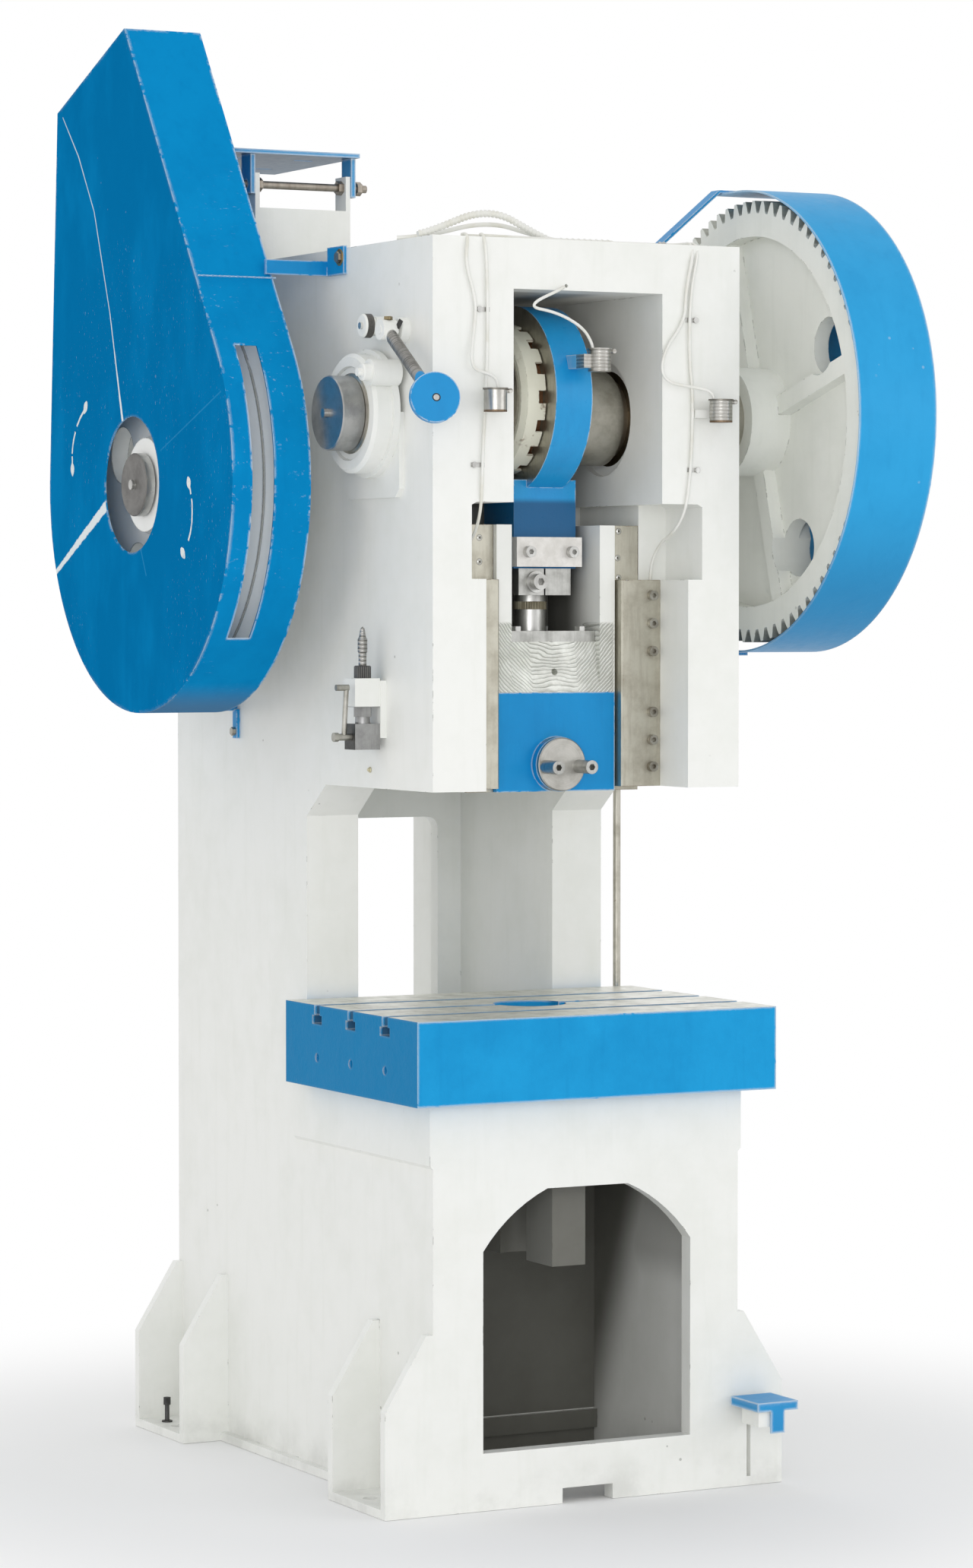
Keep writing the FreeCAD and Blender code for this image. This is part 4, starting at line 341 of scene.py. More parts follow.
@dataclass(frozen=True)
class Coat:
    """What a finish gives at a point: colour, roughness, metal, and relief in millimetres."""

    shader: Shader
    colour: Any
    rough: Number
    metal: Number = 0.0
    relief: Number = 0.0

    def tint(self, colour: Any, mask: Number, **others: Number) -> "Coat":
        """Blends the colour towards another.

        Args:
            colour: The other colour.
            mask: 1 where the other colour shows.
            others: New values of this coat's other fields, such as relief.

        Returns:
            The changed coat.
        """
        return replace(self, colour=self.shader.blend(self.colour, colour, mask), **others)

    def under(self, over: "Coat | Finish", mask: Value) -> "Coat":
        """Lays another coat or finish over this one.

        Args:
            over: The coat of the same material, or the finish.
            mask: 1 where it shows.

        Returns:
            The two together.
        """
        if isinstance(over, Finish):
            over = over.coat(self.shader)

        def part(low: Number, high: Number) -> Number:
            """Mixes one number of the two coats by the mask.

            Args:
                low: This coat's number.
                high: The other coat's.

            Returns:
                The mixed number, or the one that they share.
            """
            if not isinstance(low, Value) and low == high:
                return low
            return self.shader.value("Mix", {"data_type": "FLOAT"}, {0: mask, 2: low, 3: high})

        return self.tint(
            over.colour, mask, rough=part(self.rough, over.rough),
            metal=part(self.metal, over.metal), relief=part(self.relief, over.relief),
        )

    def dress(self, *nodes: str, gloss: float = 0.0, shine: float = 0.5) -> None:
        """Ends the material with this coat and gives it to CAD nodes.

        Args:
            nodes: The nodes' names.
            gloss: The weight of a clear coat.
            shine: The strength of the surface's own reflection.
        """
        dress(self.shader.finish(self, gloss, shine), *nodes)


class Finish:
    """A paint, metal or plastic that whole pieces can share."""

    gloss: ClassVar[float] = 0.0
    shine: ClassVar[float] = 0.5

    def coat(self, shader: Shader) -> Coat:
        """Lays the finish in a material."""
        raise NotImplementedError

    def material(self, name: str) -> Material:
        """Makes a material in this finish at its first use, and gives the same one later.

        Args:
            name: The material's name.

        Returns:
            The material.
        """
        if name not in MADE:
            shader = Shader(name)
            MADE[name] = shader.finish(self.coat(shader), self.gloss, self.shine)
        return MADE[name]

    def cover(self, name: str, *nodes: str) -> None:
        """Gives CAD nodes the material of that name in this finish."""
        dress(self.material(name), *nodes)


@dataclass(frozen=True)
class Enamel(Finish):
    """Enamel brushed over cast iron or sheet, with drifting tone, brush marks and chips."""

    colour: Colour
    drift: Colour
    bare: Colour
    wear: float = 0.0
    edge: float = 0.004
    peel: float = 0.12
    swell: float = 0.5
    rough: float = 0.3
    specks: float = 0.5
    shine: ClassVar[float] = 0.25

    def coat(self, shader: Shader) -> Coat:
        """Lays the paint with its drifting tone, brush marks, chips and spots.

        Args:
            shader: The material being built.

        Returns:
            The coat.
        """
        cloud, blotch = shader.noise(2.2, 3.0), shader.noise(13, 5.0, 0.62)
        brush = shader.noise(16, 3.0, 0.6, (0.35, 0.35, 3.5))
        tone = (cloud * 0.5 + blotch * 0.5).ramp(0.4, 0.68)
        colour = shader.blend(self.colour, self.drift, tone * 0.4)
        colour = shader.blend(colour, self.drift, brush.ramp(0.5, 0.78) * 0.22)
        ragged = shader.noise(60, 5.0, 0.72)
        uneven = (shader.noise(9, 3.0) - 0.5) * 1.1
        chips = (shader.edges(self.edge) + 1.3 * ragged + uneven - (1.62 - self.wear)).ramp(0.0, 0.1)
        spots = shader.cells(26).ramp(0.085, 0.06) * shader.noise(5, 2.0).ramp(0.62, 0.66)
        worn = chips.most(spots * self.specks)
        return Coat(
            shader,
            shader.blend(colour, self.bare, worn),
            self.rough + 0.22 * ragged + worn * 0.2,
            0.0,
            shader.noise(210, 2.0) * self.peel + blotch * self.swell + brush * 0.25 - worn * 0.25,
        )


@dataclass(frozen=True)
class Steel(Finish):
    """Bare steel or iron, with its tool marks, handling stains and rust."""

    colour: Colour
    shade: Colour
    rough: float = 0.34
    rust: float = 0.0
    lay: Lay = Lay.MILLED
    axis: Axis = Axis.X
    centre: Point = (0, 0, 0)
    pitch: float = 900.0
    metal: float = 1.0

    def coat(self, shader: Shader) -> Coat:
        """Shows the metal with its tool marks, stains and rust.

        Args:
            shader: The material being built.

        Returns:
            The coat.
        """
        stain = shader.noise(24, 5.0, 0.65)
        if self.lay is Lay.TURNED:
            marks = shader.lines(shader.radius(self.axis, self.centre), self.pitch)
        elif self.lay is Lay.MILLED:
            marks = shader.noise(self.pitch / 6, 3.0, 0.6, (1.0, 1.0, 9.0))
        else:
            marks = shader.noise(self.pitch / 3, 4.0, 0.65)
        colour = shader.blend(self.colour, self.shade, stain.ramp(0.38, 0.72) * 0.7)
        colour = shader.blend(colour, self.shade, marks.ramp(0.45, 0.75) * 0.45)
        crust = shader.noise(38, 6.0, 0.72)
        eaten = (crust + shader.edges(0.003) * 0.22 + self.rust * 0.3).ramp(0.74, 0.86)
        dull = (stain - 0.5) * 0.25 + marks * 0.15
        colour = shader.blend(colour, (0.13, 0.062, 0.026), eaten * min(1.0, self.rust * 3))
        metal = self.metal - eaten * min(0.7, self.rust * 2) if self.metal else 0.0
        return Coat(shader, colour, dull + self.rough + eaten * 0.3, metal, marks * 0.12 + stain * 0.1)


@dataclass(frozen=True)
class Nylon(Finish):
    """Satin white tube, yellowed in places."""

    fresh: Colour = (0.80, 0.80, 0.76)
    aged: Colour = (0.66, 0.64, 0.54)
    gloss: ClassVar[float] = 0.15

    def coat(self, shader: Shader) -> Coat:
        """Lays the fresh colour, with the aged one in clouds.

        Args:
            shader: The material being built.

        Returns:
            The coat.
        """
        age = shader.noise(18, 4.0).ramp(0.42, 0.7)
        colour = shader.blend(self.fresh, self.aged, age * 0.6)
        return Coat(shader, colour, 0.34 + age * 0.15, 0.0, shader.noise(300, 2.0) * 0.05)


WHITE = Enamel((0.86, 0.865, 0.835), (0.74, 0.755, 0.70), (0.16, 0.16, 0.14), -0.2, 0.003, rough=0.36)
BLUE = Enamel(
    (0.006, 0.265, 0.60), (0.003, 0.19, 0.47), (0.66, 0.72, 0.75), 0.12, 0.005, swell=0.7, rough=0.27
)
STONE = Enamel((0.76, 0.755, 0.64), (0.55, 0.53, 0.41), (0.15, 0.07, 0.035), 0.0, 0.004, rough=0.45)
WORN_STEEL = Steel((0.52, 0.50, 0.44), (0.33, 0.31, 0.255), 0.38, 0.35)
BRIGHT_STEEL = Steel((0.60, 0.60, 0.58), (0.36, 0.355, 0.34), 0.3)
DARK_STEEL = Steel((0.10, 0.10, 0.10), (0.045, 0.045, 0.045), 0.42, 0.1, Lay.CAST)
IRON = Steel((0.33, 0.31, 0.27), (0.16, 0.145, 0.12), 0.5, 0.45, Lay.CAST)
BRONZE = Steel((0.50, 0.34, 0.15), (0.27, 0.17, 0.07), 0.4, 0.1)
NYLON = Nylon()


def dress(material: Material, *nodes: str) -> None:
    """Gives CAD nodes a material.

    Args:
        material: The material for every face.
        nodes: The nodes' names.
    """
    for name in nodes:
        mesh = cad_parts[name]
        if not mesh.material_slots:
            mesh.data.materials.append(None)
        for place in mesh.material_slots:
            place.link = "OBJECT"
            place.material = material
        log.info("dressed %s in %s", name, material.name)


def aim(centre: Sequence[float], direction: Sequence[float]) -> Matrix:
    """A place whose own Z looks along a direction.

    Args:
        centre: The place, in metres.
        direction: Where its Z points.

    Returns:
        The matrix.
    """
    turn = Vector(direction).to_track_quat("Z", "Y").to_matrix().to_4x4()
    return Matrix.Translation(Vector(centre)) @ turn


def put(name: str, data: bpy.types.ID) -> Object:
    """Puts an object in the scene.

    Args:
        name: Its name.
        data: The mesh, curve, lamp or camera that it shows.

    Returns:
        The object.
    """
    made = bpy.data.objects.new(name, data)
    bpy.context.scene.collection.objects.link(made)
    return made


class Blank:
    """A mesh being shaped with bmesh operators, which ends as a piece of the press."""

    def __init__(self, name: str) -> None:
        """Starts an empty mesh for a piece of that name."""
        self.name = name
        self.mesh = bmesh.new()

    def turned(self, profile: Sequence[Span], place: Matrix, steps: int = 32) -> "Blank":
        """Adds a shape turned about the place's Z.

        Args:
            profile: (radius, height) points in millimetres, from one end to the other.
            place: Where the shape stands.
            steps: Facets round it.

        Returns:
            This blank.
        """
        points = [self.mesh.verts.new((r * MM, 0, h * MM)) for r, h in profile]
        rim = [self.mesh.edges.new(pair) for pair in zip(points, points[1:])]
        made = bmesh.ops.spin(
            self.mesh, geom=[*points, *rim], cent=(0, 0, 0), axis=(0, 0, 1), dvec=(0, 0, 0),
            angle=math.tau, steps=steps, use_merge=True,
        )
        ends = [g for g in made["geom_last"] if isinstance(g, bmesh.types.BMVert)]
        whole = self.linked([*ends, *points])
        bmesh.ops.transform(self.mesh, matrix=place, verts=whole)
        return self

    def linked(self, seeds: Sequence[bmesh.types.BMVert]) -> list[bmesh.types.BMVert]:
        """Finds every vertex joined to some seeds by edges.

        Args:
            seeds: The vertices to start from, less those that a merge has removed.

        Returns:
            The vertices, the seeds among them.
        """
        found, open_ends = set(), [v for v in seeds if v.is_valid]
        while open_ends:
            vert = open_ends.pop()
            if vert not in found:
                found.add(vert)
                open_ends += [e.other_vert(vert) for e in vert.link_edges]
        return list(found)

    def eased(self, made: dict[str, Any], bevel: float) -> "Blank":
        """Rounds the edges of a shape that was just added.

        Args:
            made: What the operator that added it gave.
            bevel: The width of the rounding, in millimetres.

        Returns:
            This blank.
        """
        edges = list(dict.fromkeys(e for v in made["verts"] for e in v.link_edges))
        bmesh.ops.bevel(
            self.mesh, geom=edges, offset=bevel * MM, segments=2, profile=0.5, affect="EDGES",
            material=-1, offset_type="OFFSET",
        )
        return self

    def block(self, size: Point, place: Matrix, bevel: float = 0.8) -> "Blank":
        """Adds a block with rounded edges.

        Args:
            size: Its length along each axis, in millimetres.
            place: Its middle and turn.
            bevel: The width of the rounding, in millimetres.

        Returns:
            This blank.
        """
        stretch = Matrix.Diagonal((*(s * MM for s in size), 1))
        return self.eased(bmesh.ops.create_cube(self.mesh, size=1.0, matrix=place @ stretch), bevel)

    def prism(self, sides: int, radius: float, height: float, place: Matrix, bevel: float = 0.6) -> "Blank":
        """Adds a nut-like prism, its lower face at the place.

        Args:
            sides: The number of flats.
            radius: Its corner radius, in millimetres.
            height: Its height, in millimetres.
            place: Its lower face's middle, with Z along its axis.
            bevel: The width of the rounding, in millimetres.

        Returns:
            This blank.
        """
        made = bmesh.ops.create_cone(
            self.mesh, cap_ends=True, segments=sides, radius1=radius * MM, radius2=radius * MM,
            depth=height * MM, matrix=place @ Matrix.Translation((0, 0, height * MM / 2)),
        )
        return self.eased(made, bevel)

    def swept(
        self, path: Sequence[Vector], radii: Sequence[float], sides: int = 10, flat: Point = (1, 1, 1)
    ) -> "Blank":
        """Adds a closed tube of changing thickness along points.

        Args:
            path: The points, in metres.
            radii: The tube's radius at each, in millimetres.
            sides: Facets round it.
            flat: How much it is squeezed along each axis about its own line.

        Returns:
            This blank.
        """
        last = None
        for i, (point, radius) in enumerate(zip(path, radii)):
            ahead = path[min(i + 1, len(path) - 1)] - path[max(i - 1, 0)]
            place = Matrix.Translation(point) @ Matrix.Diagonal((*flat, 1)) @ aim((0, 0, 0), ahead)
            ring = bmesh.ops.create_circle(
                self.mesh, cap_ends=i in (0, len(path) - 1), segments=sides, radius=radius * MM, matrix=place
            )["verts"]
            rim = list(dict.fromkeys(e for v in ring for e in v.link_edges))
            if last is not None:
                bmesh.ops.bridge_loops(self.mesh, edges=last + rim)
            last = rim
        return self

    def piece(
        self, body: str, material: Material, slot: str, smooth: float = 35.0
    ) -> Object:
        """Ends the shaping.

        Args:
            body: The body that the piece rides on.
            material: Its material.
            slot: The record's material slot; not used.
            smooth: Edges flatter than this many degrees are shaded smooth.

        Returns:
            The piece.
        """
        bmesh.ops.remove_doubles(self.mesh, verts=self.mesh.verts, dist=1e-6)
        bmesh.ops.recalc_face_normals(self.mesh, faces=self.mesh.faces)
        for face in self.mesh.faces:
            face.smooth = True
        data = bpy.data.meshes.new(self.name)
        self.mesh.to_mesh(data)
        self.mesh.free()
        data.set_sharp_from_angle(angle=math.radians(smooth))
        data.materials.append(material)
        made = put(self.name, data)
        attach(made, body)
        log.info("built %s, %d faces, on %s", self.name, len(data.polygons), body)
        return made


@dataclass(frozen=True)
class Run:
    """A nylon tube or hose: its route, its outer radius and its length."""

    name: str
    radius: float
    length: float
    route: tuple[Point, ...]
    lay: str = "hanging"

    def curve(self, bevel: float) -> Object:
        """The route as one open NURBS spline.

        Args:
            bevel: The tube's radius in millimetres, or 0 for the bare line.

        Returns:
            The curve's object.
        """
        data = bpy.data.curves.new(self.name, "CURVE")
        data.dimensions = "3D"
        data.resolution_u = 12
        data.bevel_depth = bevel * MM
        data.bevel_resolution = 4
        data.use_fill_caps = bevel > 0
        spline = data.splines.new("NURBS")
        spline.points.add(len(self.route) - 1)
        for point, place in zip(spline.points, self.route):
            point.co = (*place, 1.0)
        spline.order_u = 3
        spline.use_endpoint_u = True
        return put(self.name, data)

    def line(self) -> list[Vector]:
        """Reads the points of the spline from the curve with no bevel.

        Returns:
            The points, from the route's start to its end.
        """
        bare = self.curve(0.0)
        mesh = bpy.data.meshes.new_from_object(bare)
        points = [v.co.copy() for v in mesh.vertices]
        bpy.data.objects.remove(bare)
        bpy.data.meshes.remove(mesh)
        return points

    def declare(self, made: Object, path: list[Vector] | None = None) -> None:
        """Logs this cord's name and length.

        Args:
            made: The piece; not used.
            path: The points of its middle line, for a piece that is a mesh; not used.
        """
        2 * self.radius * MM
        log.info("declared %s, %.0f mm long", self.name, self.length / MM)

    def tube(self) -> Object:
        """Returns:
            The tube.
        """
        made = self.curve(self.radius)
        made.data.materials.append(NYLON.material("white_nylon"))
        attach(made, "frame")
        self.declare(made)
        return made


def evenly(points: Sequence[Vector], count: int) -> list[Vector]:
    """Points at equal distances along a line.

    Args:
        points: The line's own points.
        count: How many points to give.

    Returns:
        The points, the line's two ends among them.
    """
    reach = [0.0]
    for a, b in zip(points, points[1:]):
        reach.append(reach[-1] + (b - a).length)
    found, at = [], 0
    for i in range(count):
        goal = reach[-1] * i / (count - 1)
        while at < len(points) - 2 and reach[at + 1] < goal:
            at += 1
        span = reach[at + 1] - reach[at] or 1.0
        found.append(points[at].lerp(points[at + 1], min(1.0, (goal - reach[at]) / span)))
    return found


@dataclass
class OilLines:
    """The nylon tubes on the head, the hoses on its top, the cups and the clips."""

    tubes: tuple[Run, ...] = (
        Run("left_gib_tube", 2.7, 0.841, (
            (-0.026, -0.486, 2.1982), (-0.17, -0.508, 2.1982), (-0.203, -0.51, 2.1982),
            (-0.206, -0.541, 2.199), (-0.2, -0.5402, 2.134), (-0.2, -0.5402, 1.974),
            (-0.209, -0.5402, 1.834), (-0.212, -0.5402, 1.704), (-0.188, -0.422, 1.654),
            (-0.188, -0.422, 1.6093))),
        Run("left_cup_tube", 2.7, 0.536, (
            (-0.026, -0.479, 2.1982), (-0.19, -0.492, 2.1982), (-0.234, -0.498, 2.1982),
            (-0.236, -0.541, 2.199), (-0.243, -0.5402, 2.15), (-0.223, -0.5402, 2.09),
            (-0.223, -0.5402, 2.05), (-0.238, -0.5452, 1.968), (-0.202, -0.5512, 1.959),
            (-0.194, -0.568, 1.948), (-0.194, -0.568, 1.929))),
        Run("right_gib_tube", 2.7, 0.724, (
            (0.1904, -0.467, 2.1982), (0.221, -0.467, 2.1982), (0.221, -0.541, 2.199),
            (0.2, -0.5402, 2.11), (0.199, -0.5402, 1.99), (0.207, -0.5402, 1.93),
            (0.203, -0.5402, 1.8), (0.188, -0.5402, 1.707), (0.188, -0.422, 1.659),
            (0.188, -0.422, 1.6093))),
        Run("right_cup_tube", 2.7, 0.423, (
            (0.1904, -0.4735, 2.1982), (0.211, -0.4735, 2.1982), (0.211, -0.541, 2.199),
            (0.191, -0.5402, 2.11), (0.191, -0.5402, 2.062), (0.143, -0.5412, 2.002),
            (0.143, -0.5432, 1.954), (0.2, -0.5532, 1.945), (0.233, -0.568, 1.938),
            (0.233, -0.568, 1.919))),
        Run("window_tube", 2.7, 0.245, (
            (-0.044, -0.52, 2.115), (-0.044, -0.548, 2.115), (-0.132, -0.548, 2.077),
            (-0.062, -0.536, 2.069), (-0.008, -0.53, 2.045), (0.012, -0.528, 2.017),
            (0.012, -0.528, 2.0102))),
    )
    hoses: tuple[Run, ...] = (
        Run("smooth_hose", 4.0, 0.292, (
            (-0.3, -0.394, 2.1984), (-0.262, -0.416, 2.199), (-0.15, -0.444, 2.23), (-0.06, -0.454, 2.206),
            (-0.022, -0.456, 2.1995)), "taut"),
        Run("thin_hose", 3.2, 0.092, (
            (0.084, -0.47, 2.1976), (0.13, -0.47, 2.1976), (0.176, -0.47, 2.1976)), "taut"),
    )
    arch: Run = Run("arch_hose", 6.5, 0.264, (
        (-0.298, -0.47, 2.1995), (-0.278, -0.47, 2.2035), (-0.16, -0.47, 2.2515), (-0.062, -0.47, 2.2045),
        (-0.048, -0.47, 2.2005)), "taut")
    wrap: Run = Run("hose_wrap", 4.5, 0.105, (
        (-0.022, -0.47, 2.1988), (0.03, -0.47, 2.1988), (0.083, -0.47, 2.1988)), "taut")
    arch_ribs: int = 34
    arch_root: float = 5.1
    wrap_turns: int = 9
    wrap_root: float = 3.3
    ferrule: Point = (0.1763, -0.47, 2.1992)
    band_turns: float = 1050.0
    rim_height: float = 1.894
    lid: Span = (1.9305, 1.9315)
    cup_arms: Span = (-0.5488, -0.5484)
    rod_arm: Span = (-0.5065, -0.5055)

    def build(self) -> None:
        """Builds every tube and hose in place of the CAD's soft solids."""
        made = [run.tube() for run in self.tubes]
        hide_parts("oil_tubes")
        hoses = [run.tube() for run in self.hoses]
        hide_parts("top_hoses")
        self.ribbed()
        self.wrapped()
        Blank("hose_ferrule").turned(
            (
                (0, 0), (3.4, 0), (4.6, 1), (4.6, 4), (3.8, 5), (3.8, 9), (4.6, 10), (4.6, 12.6),
                (3.2, 13.6), (0, 13.6),
            ),
            aim(self.ferrule, (1, 0, 0)), 20,
        ).piece("frame", BRIGHT_STEEL.material("bright_steel"), "machined_steel")

    def ribbed(self) -> None:
        """Builds the corrugated hose that arches over the head's top."""
        shape = (self.arch_root, self.arch_root, self.arch.radius, self.arch.radius)
        path = evenly(self.arch.line(), 4 * self.arch_ribs + 1)
        hose = Blank("arch_hose").swept(path, [shape[i % 4] for i in range(len(path))], 14)
        self.arch.declare(hose.piece("frame", NYLON.material("white_nylon"), "white_nylon", 50), path)

    def wrapped(self) -> None:
        """Builds the tube on the head's front edge with the binding wound round it."""
        path = evenly(self.wrap.line(), 12 * self.wrap_turns + 1)
        core = Blank("hose_wrap").swept(path[::6], [self.wrap_root] * len(path[::6]), 14)
        strand = []
        for i, point in enumerate(path):
            turn = math.tau * i / 12
            strand.append(point + Vector((0, math.cos(turn), math.sin(turn))) * (self.wrap_root + 0.1) * MM)
        core.swept(strand, [1.1] * len(strand), 6)
        self.wrap.declare(core.piece("frame", NYLON.material("white_nylon"), "white_nylon", 50), path)

    def banded(self, shader: Shader, where: Number, shade: float, depth: float) -> Coat:
        """The cups' steel with its turned bands.

        Args:
            shader: The material being built.
            where: 1 where the bands are.
            shade: How dark they are, from 0 to 1.
            depth: How deep they are, in millimetres.

        Returns:
            The coat.
        """
        steel = Steel((0.55, 0.54, 0.51), (0.27, 0.26, 0.23), 0.27, 0.05).coat(shader)
        bands = shader.maths("SINE", shader.z * self.band_turns) * where
        return steel.tint(
            (0.20, 0.18, 0.15), bands.ramp(0.2, 0.9) * shade, relief=steel.relief + bands * depth
        )

    def dress(self) -> None:
        """Finishes the cups, their arms and the clips."""
        shader = Shader("oil_cup_steel")
        drop = shader.x.ramp(-0.1, 0.1) * 0.010
        rim = Steel((0.24, 0.17, 0.11), (0.12, 0.08, 0.05), 0.45, 0.2)
        lid = Steel((0.30, 0.29, 0.26), (0.16, 0.15, 0.13), 0.4, 0.2)
        cup = self.banded(shader, shader.x.ramp(0.0, 0.1), 0.4, 0.3)
        cup = cup.under(rim, abs(shader.z - (self.rim_height - drop)).ramp(0.004, 0.002))
        cup = cup.under(lid, (shader.z + drop).ramp(*self.lid))
        cup.under(WHITE, shader.y.ramp(*self.cup_arms)).dress("oil_cups")
        shader = Shader("rod_cup_steel")
        # the pale drift on the arm's blue is a painted glare, with real chips at its edges
        arm = Enamel((0.10, 0.40, 0.70), (0.5, 0.62, 0.72), BLUE.bare, 0.3)
        cup = self.banded(shader, 1.0, 0.45, 0.35)
        cup.under(arm, shader.y.ramp(*self.rod_arm)).dress("oil_cup_rod")
        BRIGHT_STEEL.cover("bright_steel", "tube_clips")


@dataclass
class Castings:
    """The welded and cast frame with its bolted-on white pieces."""

    bay: Box = ((-0.20, -0.44, 1.58), (0.03, -0.05, 2.13))
    rail: Box = ((-0.3, -0.07, 0.037), (0.3, -0.05, 0.073))
    hollow: Box = ((-0.294, -0.50, 0.001), (0.294, -0.04, 0.72))

    def dress(self) -> None:
        """Paints the frame, with painted shade in its crank bay and lower hollow and grime near the floor,
        and the pieces on it.
        """
        shader = Shader("frame_paint")
        shade_and_grime_mottle = shader.noise(7, 5.0, 0.65)
        # painted shade: the crank bay's walls darken inside this box, mottled
        deep = shader.inside(*self.bay, 0.05) * (0.3 + 0.4 * shade_and_grime_mottle)
        # painted shade: the lower hollow darkens towards its back and its top, less on the rail
        depth = (shader.y + shader.z * 0.4).ramp(-0.12, 0.03).most(shader.facing(Axis.Y).ramp(-0.5, -0.9))
        depth = depth.most(shader.z.ramp(0.33, 0.40) * (0.4 + 0.4 * shader.x.ramp(0.2, 0.1)))
        depth = depth * (1.0 - 0.7 * shader.inside(*self.rail, 0.001))
        lower = shader.inside(*self.hollow, 0.002) * depth * (0.88 + 0.08 * shade_and_grime_mottle)
        feet = shader.z.ramp(0.10, 0.0) * shade_and_grime_mottle.ramp(0.45, 0.7) * 0.18
        # shadow holds the painted shade of the bay and the hollow, and the grime near the feet
        shadow = deep.most(lower).most(feet).least(0.94)
        # the tint is the dark grey of the painted shade and the grime
        WHITE.coat(shader).tint((0.085, 0.083, 0.066), shadow).dress("frame_casting", gloss=0.1, shine=0.35)
        WHITE.cover(
            "white_paint", "bearing_flanges", "drive_bearings", "motor_bracket", "lever_bosses",
            "pump_bracket", "pedal_bracket", "rod_guides",
        )
        DARK_STEEL.cover("dark_steel", "jack_bolt")
        Steel((0.13, 0.09, 0.05), (0.06, 0.045, 0.03), 0.4, 0.1).cover("oily_bronze", "crank_bushes")


@dataclass
class Bolster:
    """The table's plate: blue sides and a worn steel top with T-slots and a bore."""

    top: float = 0.856
    bore: Point = (0.0, -0.318, 0.8)
    slots: Box = ((-0.349, -0.575, 0.80), (0.349, -0.06, 0.853))

    def dress(self) -> None:
        """Paints the sides and leaves the top bare."""
        shader = Shader("bolster_finish")
        paint = Enamel(
            (0.014, 0.33, 0.68), (0.005, 0.215, 0.50), (0.66, 0.69, 0.68), 0.3, 0.008, 0.35, 2.0, 0.3, 0.8
        ).coat(shader)
        # painted shade: the left-facing sides are darker
        paint = paint.tint((0.002, 0.19, 0.42), shader.left_faces() * 0.9)
        steel = Steel((0.80, 0.80, 0.74), (0.46, 0.46, 0.41), 0.3, 0.2, pitch=300)
        up = shader.facing(Axis.Z).ramp(0.6, 0.8) * shader.z.ramp(self.top - 0.004, self.top - 0.001)
        slots = shader.inside(*self.slots, 0.002) * shader.radius(Axis.Z, self.bore).ramp(0.108, 0.112)
        inner = Enamel((0.03, 0.16, 0.33), (0.12, 0.16, 0.18), BLUE.bare, 0.35, 0.005)
        paint.under(inner, slots * (1.0 - up)).under(steel, up).dress("bolster_plate", shine=0.06)


@dataclass
class Crank:
    """The crankshaft with its stroke ring, its big gear and its end discs."""

    line: Point = (0.0, -0.32, 1.897)
    gear_rim: float = 0.384
    ring_middle: Point = (0.0, -0.32, 1.927)
    ring_face: Span = (0.1285, 0.1265)
    ring_front: Span = (-0.055, -0.05)

    def dress(self) -> None:
        """Finishes every piece that turns with the crank."""
        journal = Steel((0.52, 0.50, 0.44), (0.30, 0.28, 0.23), 0.3, 0.15, Lay.TURNED, Axis.X, self.line, 500)
        journal.cover("crank_steel", "crankshaft")
        disc = Steel((0.46, 0.46, 0.45), (0.26, 0.26, 0.255), 0.3, 0.0, Lay.TURNED, Axis.X, self.line, 1400)
        disc.cover("crank_disc_steel", "crank_end_disc")
        WHITE.cover("white_paint", "gear_end_plate")
        shader = Shader("stroke_ring_finish")
        rust = Steel((0.22, 0.11, 0.055), (0.10, 0.05, 0.03), 0.6, 0.6, Lay.CAST)
        inward = shader.radius(Axis.X, self.ring_middle).ramp(*self.ring_face)
        recess = inward * shader.x.ramp(*self.ring_front) * (1.0 - shader.side_faces())
        stained = shader.noise(30, 5.0, 0.7).ramp(0.6, 0.72) * 0.6
        STONE.coat(shader).under(rust, recess.most(stained)).dress("stroke_ring")
        shader = Shader("gear_finish")
        pale = Enamel((0.85, 0.86, 0.81), (0.70, 0.72, 0.66), (0.2, 0.2, 0.17), -0.1, rough=0.4).coat(shader)
        greasy = Steel((0.44, 0.45, 0.40), (0.2, 0.2, 0.17), 0.45, 0.1, Lay.CAST, metal=0.3)
        teeth = shader.radius(Axis.X, self.line).ramp(self.gear_rim - 0.008, self.gear_rim)
        pale.under(greasy, teeth * abs(shader.facing(Axis.X)).ramp(0.9, 0.4)).dress("drive_gear", gloss=0.1)


